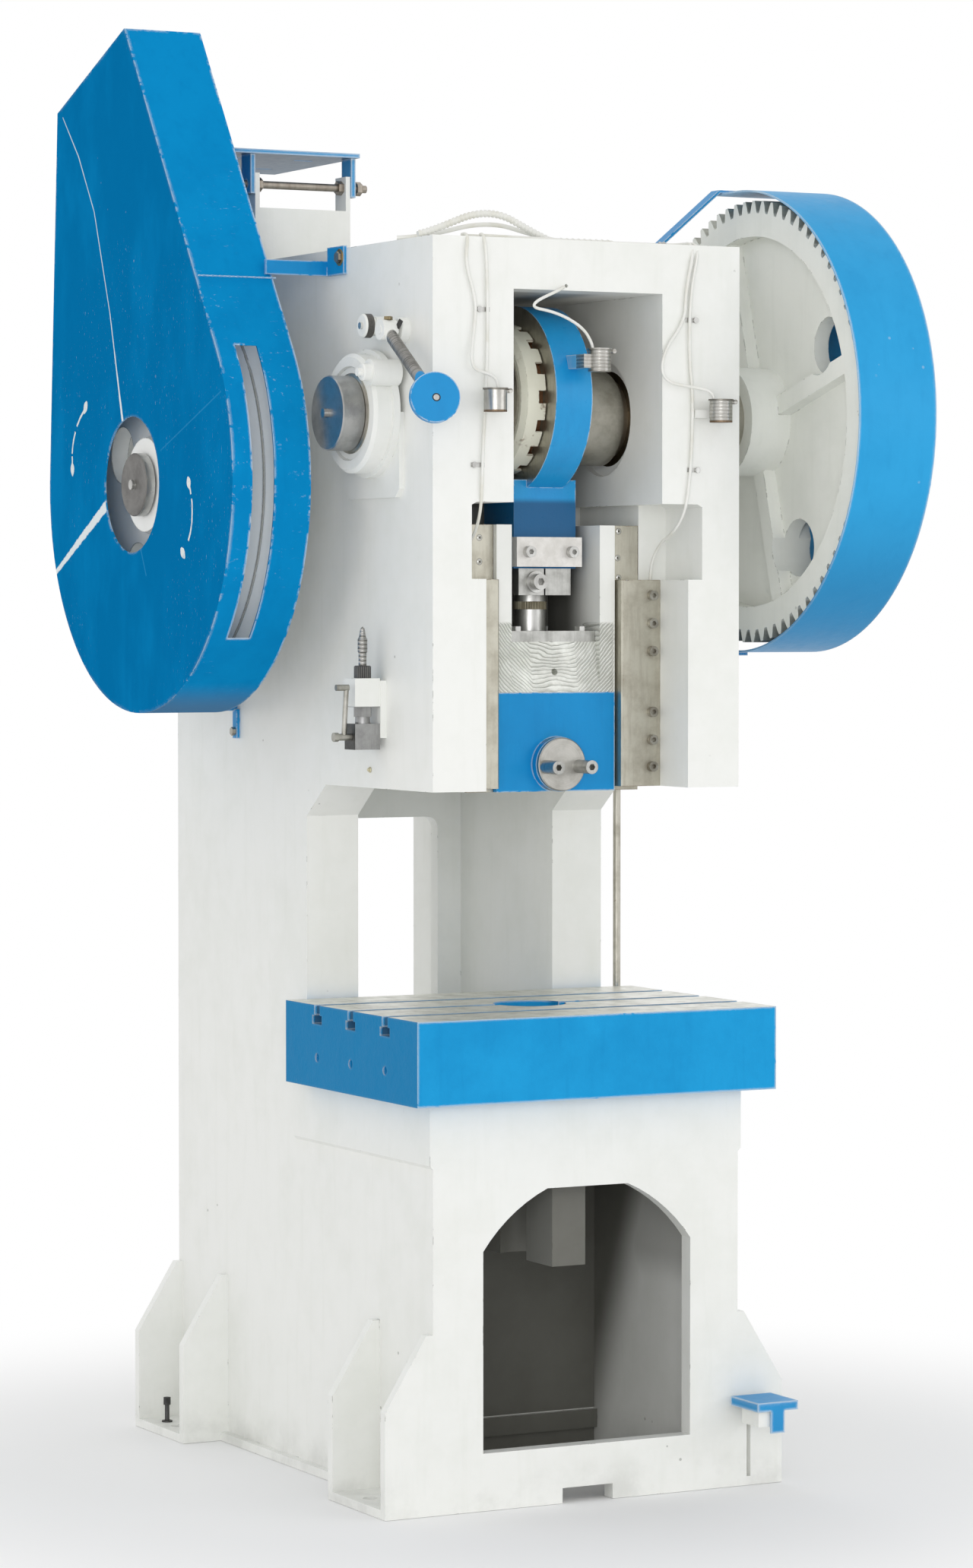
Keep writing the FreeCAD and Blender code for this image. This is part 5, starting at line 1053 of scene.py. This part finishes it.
@dataclass
class RodAndSlide:
    """The connecting rod, its ball screw, the slide and the gibs that guide it."""

    slope: Box = ((-0.112, -0.45, 1.412), (0.112, -0.36, 1.530))
    boss: Point = (0.0, -0.42, 1.432)
    screw: Point = (0.0, -0.32, 1.6)
    screws: tuple[Span, ...] = (
        (-0.146, 1.682), (-0.146, 1.64), (0.132, 1.695), (0.13, 1.648), (0.132, 1.613),
    )
    # the box of the slide's pocket, where shade is painted
    shaded_pocket: Box = ((-0.0885, -0.41, 1.503), (0.0885, -0.222, 1.71))
    handle: Point = (0.0, -0.44, 1.285)
    # the height below which shadow is painted on the rod
    shaded_neck: Span = (1.755, 1.742)
    cheek: Span = (1.775, 1.79)

    def dress(self) -> None:
        """Finishes the rod's and the slide's pieces."""
        self.rod()
        self.ratchet()
        self.slide()
        self.clamp()
        self.gibs()

    def rod(self) -> None:
        """Paints the rod, with painted shadow on its lower part and a bare cheek on its strap, and finishes
        its bolts and plates.
        """
        shader = Shader("rod_paint")
        blue = Enamel((0.012, 0.31, 0.66), (0.004, 0.19, 0.48), (0.66, 0.74, 0.78), 0.1, 0.004, rough=0.2)
        scuffs = shader.noise(11, 5.0, 0.7).ramp(0.66, 0.76) * 0.6
        paint = blue.coat(shader).tint((0.5, 0.66, 0.78), scuffs)
        # painted shadow: the rod's blue darkens below this height
        paint = paint.tint((0.001, 0.085, 0.22), shader.z.ramp(*self.shaded_neck) * 0.92)
        cheek = shader.side_faces() * shader.z.ramp(*self.cheek)
        paint.under(WORN_STEEL, cheek).dress("connecting_rod", gloss=0.1, shine=0.3)
        plate = Steel((0.78, 0.76, 0.73), (0.62, 0.60, 0.56), 0.42, 0.05, Lay.CAST, pitch=500, metal=0.5)
        plate.cover("rod_plate_steel", "rod_clamp_plate")
        block = Steel((0.50, 0.50, 0.48), (0.28, 0.28, 0.26), 0.3, 0.1, pitch=700)
        block.cover("lock_block_steel", "lock_block", "clamp_studs", "ball_cap_plate")
        BRIGHT_STEEL.cover("bright_steel", "rod_bolts", "ball_screw", "cap_bolts")

    def ratchet(self) -> None:
        """Cuts the ratchet ring's 60 fine teeth."""
        shader = Shader("ratchet_finish")
        steel = Steel((0.42, 0.39, 0.29), (0.22, 0.19, 0.12), 0.45, 0.25).coat(shader)
        turn = shader.maths("ARCTAN2", shader.y - self.screw[1], shader.x - self.screw[0])
        teeth = shader.maths("SINE", turn * 60)
        ring = steel.tint((0.09, 0.075, 0.05), teeth.ramp(0.0, 0.7) * 0.8, relief=steel.relief - teeth * 0.5)
        ring.dress("ratchet_ring")

    def slide(self) -> None:
        """Paints the slide's arms, with painted shade in its pocket, and cuts the stepped milling on its
        slope.
        """
        shader = Shader("slide_finish")
        sway = shader.noise(14, 3.0) * 0.022 + shader.noise(60, 2.0) * 0.004
        aside = abs(shader.x)
        fan = (aside - 0.045).most(0.0) * 0.85 + aside * 0.18
        climb = shader.z - fan + sway - shader.radius(Axis.Y, self.boss).ramp(0.05, 0.0) * 0.014
        steps = shader.maths("FRACT", climb * 130)
        ridge = steps.ramp(0.0, 0.6) - steps.ramp(0.75, 1.0)
        rough_zone = shader.noise(22, 2.0).ramp(0.3, 0.55).most(aside.ramp(0.05, 0.09))
        cut = shader.inside(*self.slope, 0.006)
        bright = Steel((0.86, 0.87, 0.82), (0.68, 0.69, 0.63), 0.4, 0.0, Lay.CAST, pitch=600, metal=0.25)
        milled = bright.coat(shader)
        milled = milled.tint(
            (0.42, 0.43, 0.37), ridge.ramp(0.3, 0.0) * 0.6 * rough_zone,
            relief=milled.relief + ridge * 2.4 * (0.3 + 0.7 * rough_zone),
        )
        # painted shade: the slide's pocket darkens towards its back
        shaded_pocket = shader.inside(*self.shaded_pocket, 0.002) * shader.y.ramp(-0.385, -0.29) * 0.88
        arms = WHITE.coat(shader).tint((0.05, 0.047, 0.036), shaded_pocket)
        arms.under(milled, cut).dress("slide_casting", shine=0.3)

    def clamp(self) -> None:
        """Finishes the blue clamp block, worn above and below, and its turned disc."""
        shader = Shader("clamp_block_finish")
        bare = abs(shader.facing(Axis.Z)).ramp(0.7, 0.9)
        BLUE.coat(shader).under(WORN_STEEL, bare).dress("clamp_block", shine=0.2)
        disc = Steel(
            (0.50, 0.49, 0.46), (0.30, 0.29, 0.26), 0.33, 0.15, Lay.TURNED, Axis.Y, self.handle, pitch=1100
        )
        disc.cover("clamp_disc_steel", "clamp_disc")

    def gibs(self) -> None:
        """Finishes the gibs and the wear strips, with small socket screws sunk in them."""
        shader = Shader("gib_steel")
        steel = Steel((0.58, 0.56, 0.48), (0.42, 0.39, 0.32), 0.42, 0.32, pitch=800).coat(shader)
        for x, z in self.screws:
            away = shader.radius(Axis.Y, (x, 0.0, z))
            # each head is bright steel with its socket painted dark, a painted shade of the hole
            colour = shader.blend((0.62, 0.62, 0.58), (0.10, 0.09, 0.08), away.ramp(0.002, 0.0015))
            head = Coat(shader, colour, 0.3, 1.0, away.ramp(0.005, 0.001) * 1.5)
            steel = steel.under(IRON, away.ramp(0.0062, 0.0056)).under(head, away.ramp(0.005, 0.0046))
        steel.dress("gibs", "wear_strips")
        screw = Steel((0.46, 0.45, 0.41), (0.17, 0.15, 0.11), 0.3, 0.22, Lay.CAST)
        screw.cover("screw_steel", "gib_screws")


@dataclass
class FlywheelDrive:
    """The drive shaft with its pinion and its flywheel."""

    line: Point = (0.0, 0.146, 1.782)
    rim: float = 0.350
    centre: Span = (0.0095, 0.0092)

    def dress(self) -> None:
        """Finishes the shaft, the wheel and the end disc."""
        WORN_STEEL.cover("worn_steel", "drive_shaft")
        IRON.cover("iron", "pinion")
        shader = Shader("wheel_disc_steel")
        disc = Steel(
            (0.22, 0.215, 0.205), (0.13, 0.125, 0.12), 0.36, 0.0, Lay.TURNED, Axis.X, self.line, pitch=1500
        )
        # bright turned steel on the disc's rim, painted brighter than its face as a painted highlight
        rim = Steel((0.62, 0.62, 0.60), (0.45, 0.45, 0.43), 0.25, pitch=500)
        centre = shader.radius(Axis.X, self.line).ramp(*self.centre)
        whole = disc.coat(shader).under(BRIGHT_STEEL, centre)
        whole.under(rim, abs(shader.facing(Axis.X)).ramp(0.6, 0.3)).dress("flywheel_end_disc")
        shader = Shader("flywheel_finish")
        # painted light: the flywheel's white is brighter than the frame's, to make up for the guard's shade
        # over it
        white = Enamel((0.95, 0.955, 0.93), (0.85, 0.86, 0.82), WHITE.bare, 0.2, 0.004).coat(shader)
        away = shader.radius(Axis.X, self.line)
        grooves = away.ramp(self.rim + 0.0035, self.rim) * abs(shader.facing(Axis.X)).ramp(0.98, 0.9)
        outer = away.ramp(self.rim - 0.03, self.rim - 0.02)
        white.under(DARK_STEEL, grooves * outer).dress("flywheel", shine=0.3)


@dataclass
class Guards:
    """The sheet guards over the belt and over the gear, with their straps and arrows."""

    painted: float = -0.5661
    shaded: Span = (1.43, 1.375)
    stroke_width: float = 2.6
    head_width: float = 8.5
    arrows: tuple[tuple[Span, ...], ...] = (
        ((0.365, 1.924), (0.384, 1.911), (0.400, 1.896)),
        ((0.407, 1.886), (0.416, 1.871), (0.421, 1.857), (0.423, 1.846)),
        ((0.423, 1.841), (0.4225, 1.834), (0.422, 1.826)),
        ((-0.109, 1.776), (-0.114, 1.766), (-0.116, 1.759)),
        (
            (-0.119, 1.751), (-0.121, 1.744), (-0.1215, 1.727),
            (-0.120, 1.709), (-0.114, 1.692), (-0.105, 1.678),
        ),
    )
    # strokes along the folds of the belt guard's face, where highlights are painted
    crease_highlights: tuple[Stroke, ...] = (
        ((0.255, 1.751, 1.0), (0.504, 1.626, 0.45), 0.019),
        ((0.184, 1.890, 1.0), (0.200, 1.945, 0.7), 0.008),
        ((0.200, 1.945, 0.7), (0.243, 2.095, 0.35), 0.007),
        ((0.243, 2.095, 0.4), (0.315, 2.285, 0.4), 0.006),
        ((0.315, 2.285, 0.4), (0.388, 2.392, 0.5), 0.005),
        ((0.388, 2.392, 0.5), (0.463, 2.471, 0.3), 0.005),
    )
    scratches: tuple[Stroke, ...] = (
        ((0.015, 1.84, 0.5), (-0.244, 1.934, 0.7), 0.004),
        ((0.105, 1.664, 0.6), (0.081, 1.617, 0.6), 0.006),
    )
    kink: Box = ((-0.5655, -0.1485, 2.1405), (-0.4165, -0.1485, 2.1405))
    washer: Point = (-0.3099, -0.188, 2.178)
    heads: tuple[tuple[Span, Span], ...] = (
        ((0.352, 1.940), (0.366, 1.918)),
        ((0.423, 1.829), (0.421, 1.804)),
        ((-0.103, 1.790), (-0.111, 1.768)),
        ((-0.072, 1.665), (-0.090, 1.647)),
    )

    def build(self) -> None:
        """Raises the rotation arrows and the weld on the belt guard and fits the strap's washer."""
        arrows = Blank("rotation_arrows")
        for points in self.arrows:
            path = [Vector((self.painted, y, z)) for y, z in points]
            arrows.swept(path, [self.stroke_width] * len(path), 8, (0.12, 1, 1))
        for start, end in self.heads:
            ends = [Vector((self.painted, *p)) for p in (start, end)]
            path = [ends[0].lerp(ends[1], i / 6) for i in range(7)]
            radii = [self.head_width * r for r in (0.25, 0.7, 0.95, 1.0, 0.85, 0.55, 0.2)]
            arrows.swept(path, radii, 8, (0.05, 1, 1))
        seam = Blank("guard_weld")
        start, end = (Vector(p) for p in self.kink)
        path = [start.lerp(end, i / 60) for i in range(61)]
        seam.swept(path, [1.5 + 0.45 * math.sin(i * 1.9) + 0.25 * math.sin(i * 5.3) for i in range(61)], 8)
        seam.piece("frame", BLUE.material("guard_blue"), "blue_paint", 60)
        Blank("strap_washer").turned(
            ((10.6, 0), (14.5, 0), (15, 0.5), (15, 1.1), (14.5, 1.6), (10.6, 1.6), (10.6, 0)),
            aim(self.washer, (-1, 0, 0)), 32,
        ).piece("frame", BRONZE.material("bronze"), "bronze")
        shader = Shader("stencil_white")
        thin = shader.noise(90, 4.0, 0.7).ramp(0.5, 0.68)
        colour = shader.blend((0.72, 0.76, 0.75), (0.25, 0.42, 0.6), thin * 0.7)
        material = shader.finish(Coat(shader, colour, 0.45 + thin * 0.2, 0.0, thin * -0.1))
        arrows.piece("frame", material, "white_paint", 60)

    def dress(self) -> None:
        """Paints both guards, their straps, the motor plate and the treadle's step blue."""
        self.belt()
        shader = Shader("gear_guard_paint")
        blue = Enamel(
            (0.03, 0.36, 0.71), (0.015, 0.27, 0.58), BLUE.bare, 0.32, 0.007,
            swell=0.8, rough=0.25, specks=0.25,
        ).coat(shader)
        low = shader.z.ramp(1.78, 1.56) * 0.6
        blue.tint((0.02, 0.2, 0.43), low).dress("gear_guard", shine=0.1)
        shader = Shader("chipped_blue")
        chipped = Enamel(
            (0.02, 0.29, 0.62), (0.01, 0.21, 0.48), BLUE.bare, 0.5, 0.008, specks=1.0
        ).coat(shader)
        # painted shade: the plates' undersides are darker
        below = shader.facing(Axis.Z).ramp(-0.7, -0.9) * 0.85
        chipped.tint((0.09, 0.13, 0.17), below).dress("motor_plate", "step_plate", shine=0.3)
        BLUE.cover("blue_paint", "gear_guard_stays", "guard_straps")
        WORN_STEEL.cover("worn_steel", "guard_bolts")

    def belt(self) -> None:
        """Paints the belt guard, with painted shade on its flat face and towards its bottom, painted
        highlights along the crease lines, and the scratches and scuffs of its face.
        """
        shader = Shader("belt_guard_paint")
        sheet = Enamel((0.004, 0.255, 0.57), (0.002, 0.17, 0.43), BLUE.bare, 0.06, 0.008, 0.1, 1.0, 0.25, 0.8)
        flat = shader.left_faces()
        # painted highlights: light strokes along the folds of the flat face
        crease_highlights = shader.stroke(*self.crease_highlights[0])
        for crease in self.crease_highlights[1:]:
            crease_highlights = crease_highlights.most(shader.stroke(*crease))
        faint = shader.stroke(*self.scratches[0]).most(shader.stroke(*self.scratches[1]))
        streaks = shader.noise(7, 4.0, 0.6, (1.0, 1.0, 2.2)).ramp(0.42, 0.7)
        scuffs = shader.noise(60, 4.0, 0.8, (1.0, 0.3, 0.8)).ramp(0.62, 0.7)
        scuffs = scuffs * shader.noise(3.2, 2.0).ramp(0.45, 0.6)
        # painted shade: darker towards the bottom, except on the flat face
        under = shader.z.ramp(*self.shaded) * (1.0 - flat)
        # painted shade: the flat left face is darker, less so where the streaks are
        paint = sheet.coat(shader).tint((0.001, 0.15, 0.37), flat * (0.85 - 0.35 * streaks))
        # the tints add the scratches, the scuffs, the painted shade at the bottom and the painted highlights
        # on the folds
        for colour, mask in (
            ((0.03, 0.26, 0.52), faint * flat * 0.6), ((0.36, 0.56, 0.72), scuffs * 0.45),
            ((0.10, 0.185, 0.30), under * 0.75), ((0.74, 0.80, 0.82), crease_highlights * flat),
        ):
            paint = paint.tint(colour, mask)
        paint.dress("belt_guard", shine=0.0)


@dataclass
class MotorMount:
    """The tilting motor plate's hinge rod, stud and nuts."""

    steel: Steel = Steel((0.42, 0.38, 0.33), (0.24, 0.2, 0.16), 0.38, 0.35)

    def dress(self) -> None:
        """Finishes the rod, the stud and the nuts."""
        self.steel.cover("hinge_steel", "hinge_rod", "hinge_nuts", "tension_stud", "tension_nuts")


@dataclass
class TripLever:
    """The hand trip: its bar, its disc and the slotted collar behind it."""

    disc: Point = (-0.340, -0.634, 1.9135)
    head: Point = (-0.338, -0.437, 2.0535)
    clip: Point = (-0.3245, -0.452, 2.046)
    top: Point = (-0.340, -0.436, 2.037)
    foot: Point = (-0.340, -0.580, 1.942)
    screw: Point = (-0.35, -0.349, 2.048)
    white_head: Span = (-0.455, -0.450)
    blue_end: Span = (-0.558, -0.561)
    slot: tuple[Span, Span] = ((-0.3435, -0.3425), (-0.3295, -0.3305))
    screw_face: Span = (-0.344, -0.345)

    def build(self) -> None:
        """Adds the nut and the dark clip on the lever's head."""
        bronze = Steel((0.30, 0.25, 0.15), (0.15, 0.12, 0.07), 0.45, 0.2).material("dull_bronze")
        Blank("trip_nut").prism(4, 8.5, 6.0, Matrix.Translation(self.head)).piece("trip", bronze, "bronze")
        clip = Blank("trip_clip").block((2.0, 9.0, 16.0), aim(self.clip, (0.2, -0.5, 0.8)), 0.5)
        clip.piece("trip", DARK_STEEL.material("dark_steel"), "dark_steel")

    def dress(self) -> None:
        """Finishes the lever with a ringed steel bar and a white head, the disc and the collar."""
        shader = Shader("trip_lever_finish")
        steel = Steel((0.36, 0.35, 0.33), (0.17, 0.165, 0.15), 0.34, 0.1).coat(shader)
        way = (Vector(self.foot) - Vector(self.top)).normalized()
        rings = shader.lines(shader.y * way.y + shader.z * way.z, 420, 3.0)
        bar = steel.tint((0.12, 0.115, 0.105), rings.ramp(0.5, 0.62) * 0.7, relief=rings * 0.8)
        bar = bar.under(WHITE, shader.y.ramp(*self.white_head))
        bar.under(BLUE, shader.y.ramp(*self.blue_end)).dress("trip_lever", shine=0.3)
        shader = Shader("collar_finish")
        dark = Steel((0.20, 0.19, 0.18), (0.09, 0.085, 0.08), 0.4, 0.1, Lay.CAST)
        band = shader.x.ramp(*self.slot[0]) * shader.x.ramp(*self.slot[1])
        screw = shader.radius(Axis.X, self.screw).ramp(0.0065, 0.0055) * shader.x.ramp(*self.screw_face)
        collar = WHITE.coat(shader).under(dark, band).under(BRIGHT_STEEL, screw)
        collar.dress("slotted_collar", shine=0.35)
        shader = Shader("palm_disc_finish")
        away = shader.radius(Axis.Y, self.disc)
        front = shader.facing(Axis.Y).ramp(-0.3, -0.6)
        ring = BLUE.coat(shader).tint((0.01, 0.02, 0.03), away.ramp(0.0075, 0.0065) * front)
        screw = away.ramp(0.0055, 0.0045) * front
        ring.under(BRIGHT_STEEL, screw).dress("palm_disc", gloss=0.08, shine=0.3)


@dataclass
class OilPump:
    """The hand oil pump on the head's side."""

    spindle: Point = (-0.338, -0.335, 1.447)
    plug: Point = (-0.3035, -0.295, 1.276)
    bare_side: Span = (1.362, 1.358)
    painted_top: Span = (1.3875, 1.3885)
    barbs: Span = (1.515, 1.51)
    nut: Span = (1.4595, 1.4585)

    def build(self) -> None:
        """Adds the small brass plug in the head's side below the pump."""
        shape = ((0, 0), (5.0, 0), (5.0, 1.6), (4.2, 2.4), (3.0, 2.4), (3.0, 4.6), (2.4, 5.2), (0, 5.2))
        brass = Steel((0.72, 0.68, 0.50), (0.50, 0.45, 0.30), 0.4).material("pale_brass")
        Blank("side_plug").turned(shape, aim(self.plug, (-1, 0, 0)), 20).piece("frame", brass, "bronze")

    def dress(self) -> None:
        """Finishes the block, the union, the knurled nut, the spindle and the handle."""
        shader = Shader("pump_finish")
        steel = Steel((0.42, 0.42, 0.42), (0.27, 0.27, 0.265), 0.4, 0.05).coat(shader)
        dark = Steel((0.12, 0.12, 0.115), (0.07, 0.07, 0.065), 0.45, 0.0, Lay.CAST)
        left = shader.left_faces() * shader.z.ramp(*self.bare_side)
        pump = steel.under(dark, left).under(WHITE, shader.z.ramp(*self.painted_top))
        pump.dress("pump_body", shine=0.4)
        shader = Shader("spindle_finish")
        steel = Steel((0.55, 0.54, 0.52), (0.22, 0.215, 0.2), 0.28).coat(shader)
        bands = shader.maths("SINE", shader.z * 900)
        shade = bands.ramp(0.1, 0.8) * shader.z.ramp(*self.barbs) * 0.7
        barbed = steel.tint((0.12, 0.115, 0.10), shade, relief=steel.relief + bands * 0.5)
        turn = shader.maths("ARCTAN2", shader.y - self.spindle[1], shader.x - self.spindle[0])
        knurl = shader.maths("SINE", turn * 26)
        nut = DARK_STEEL.coat(shader)
        nut = nut.tint((0.34, 0.33, 0.31), knurl.ramp(0.3, 0.8) * 0.7, metal=1.0, relief=knurl * 0.8)
        barbed.under(nut, shader.z.ramp(*self.nut)).dress("pump_spindle")
        Steel((0.50, 0.49, 0.45), (0.24, 0.23, 0.19), 0.3, 0.15).cover("handle_steel", "pump_handle")


@dataclass
class Treadle:
    """The foot pedal and the rod that it pulls."""

    paint: Enamel = WHITE
    steel: Steel = WORN_STEEL

    def dress(self) -> None:
        """Finishes the pedal arm and the pull rod."""
        self.paint.cover("white_paint", "foot_pedal")
        self.steel.cover("worn_steel", "pull_rod")


@dataclass(frozen=True)
class SoftBox:
    """A square lamp that looks at the press."""

    name: str
    place: Point
    target: Point
    size: float
    power: float

    def hang(self) -> None:
        """Adds the lamp."""
        data = bpy.data.lights.new(self.name, "AREA")
        data.shape, data.size, data.energy = "SQUARE", self.size, self.power
        put(self.name, data).matrix_world = aim(self.place, Vector(self.place) - Vector(self.target))


@dataclass
class Studio:
    """The camera, the pale floor, the white backdrop and the soft lamps."""

    place: Point = (-3.9587, -7.7182, 1.5515)
    turn: Point = (87.919, 0.0, -27.627)
    lens: float = 108.41
    world: float = 0.84
    fade: Span = (0.75, 1.9)
    lamps: tuple[SoftBox, ...] = (
        SoftBox("key_lamp", (-4.6, -8.0, 2.0), (0, -0.2, 1.2), 3.0, 150.0),
        SoftBox("side_lamp", (-8.0, -1.5, 1.4), (0, 0.0, 1.2), 2.4, 8.0),
        SoftBox("far_lamp", (5.5, -6.5, 2.6), (0, 0.0, 1.2), 3.0, 50.0),
        SoftBox("back_lamp", (1.0, 7.5, 3.0), (0, 0.0, 1.2), 3.0, 60.0),
    )

    def camera(self) -> None:
        """Sets the camera before the press, at its left, at the height of an eye."""
        data = bpy.data.cameras.new("camera")
        data.lens, data.sensor_width = self.lens, 36.0
        data.clip_end = 100.0
        eye = put("camera", data)
        eye.location = self.place
        eye.rotation_euler = [math.radians(a) for a in self.turn]
        bpy.context.scene.camera = eye

    def light(self) -> None:
        """Lights the scene plainly, with white behind everything that a camera or gloss sees."""
        bpy.context.scene.view_settings.view_transform = "Standard"
        world = bpy.data.worlds.new("studio")
        world.use_nodes = True
        bpy.context.scene.world = world
        nodes = Nodes(world.node_tree)
        strength = nodes.value("MapRange", {}, {"Value": nodes.seen(), "To Min": self.world, "To Max": 1.0})
        background = nodes.node("Background", {}, {"Strength": strength, "Color": (1, 1, 1, 1)})
        nodes.node("OutputWorld", {}, {0: background.outputs[0]})
        for lamp in self.lamps:
            lamp.hang()

    def floor(self) -> None:
        """Lays the floor, which keeps the press's shadow and turns white further out."""
        shader = Shader("studio_floor")
        far = shader.radius(Axis.Z, (0.0, -0.1, 0.0)).ramp(*self.fade)
        matt = shader.node("BsdfDiffuse", {}, {"Color": (0.9, 0.9, 0.9, 1)})
        glow = shader.node("Emission", {}, {"Color": (1, 1, 1, 1), "Strength": 1.0})
        mixed = shader.node("MixShader", {}, {0: far * shader.seen(), 1: matt.outputs[0], 2: glow.outputs[0]})
        shader.node("OutputMaterial", {}, {0: mixed.outputs[0]})
        mesh = bmesh.new()
        sunk = Matrix.Translation((0, 0, -0.0006))
        bmesh.ops.create_grid(mesh, x_segments=2, y_segments=2, size=40.0, matrix=sunk)
        data = bpy.data.meshes.new("floor")
        mesh.to_mesh(data)
        mesh.free()
        data.materials.append(shader.material)
        put("floor", data)


def main() -> None:
    """Builds and dresses the press, piece by piece."""
    logging.basicConfig(level=logging.INFO, format="%(name)s: %(message)s")
    studio = Studio()
    studio.camera()
    lines, guards, lever, pump = OilLines(), Guards(), TripLever(), OilPump()
    for part in (lines, guards, lever, pump):
        part.build()
    for part in (
        lines, Castings(), Bolster(), Crank(), RodAndSlide(), FlywheelDrive(), guards, MotorMount(), lever,
        pump, Treadle(),
    ):
        part.dress()
    studio.light()
    studio.floor()


if __name__ == "__main__":
    main()
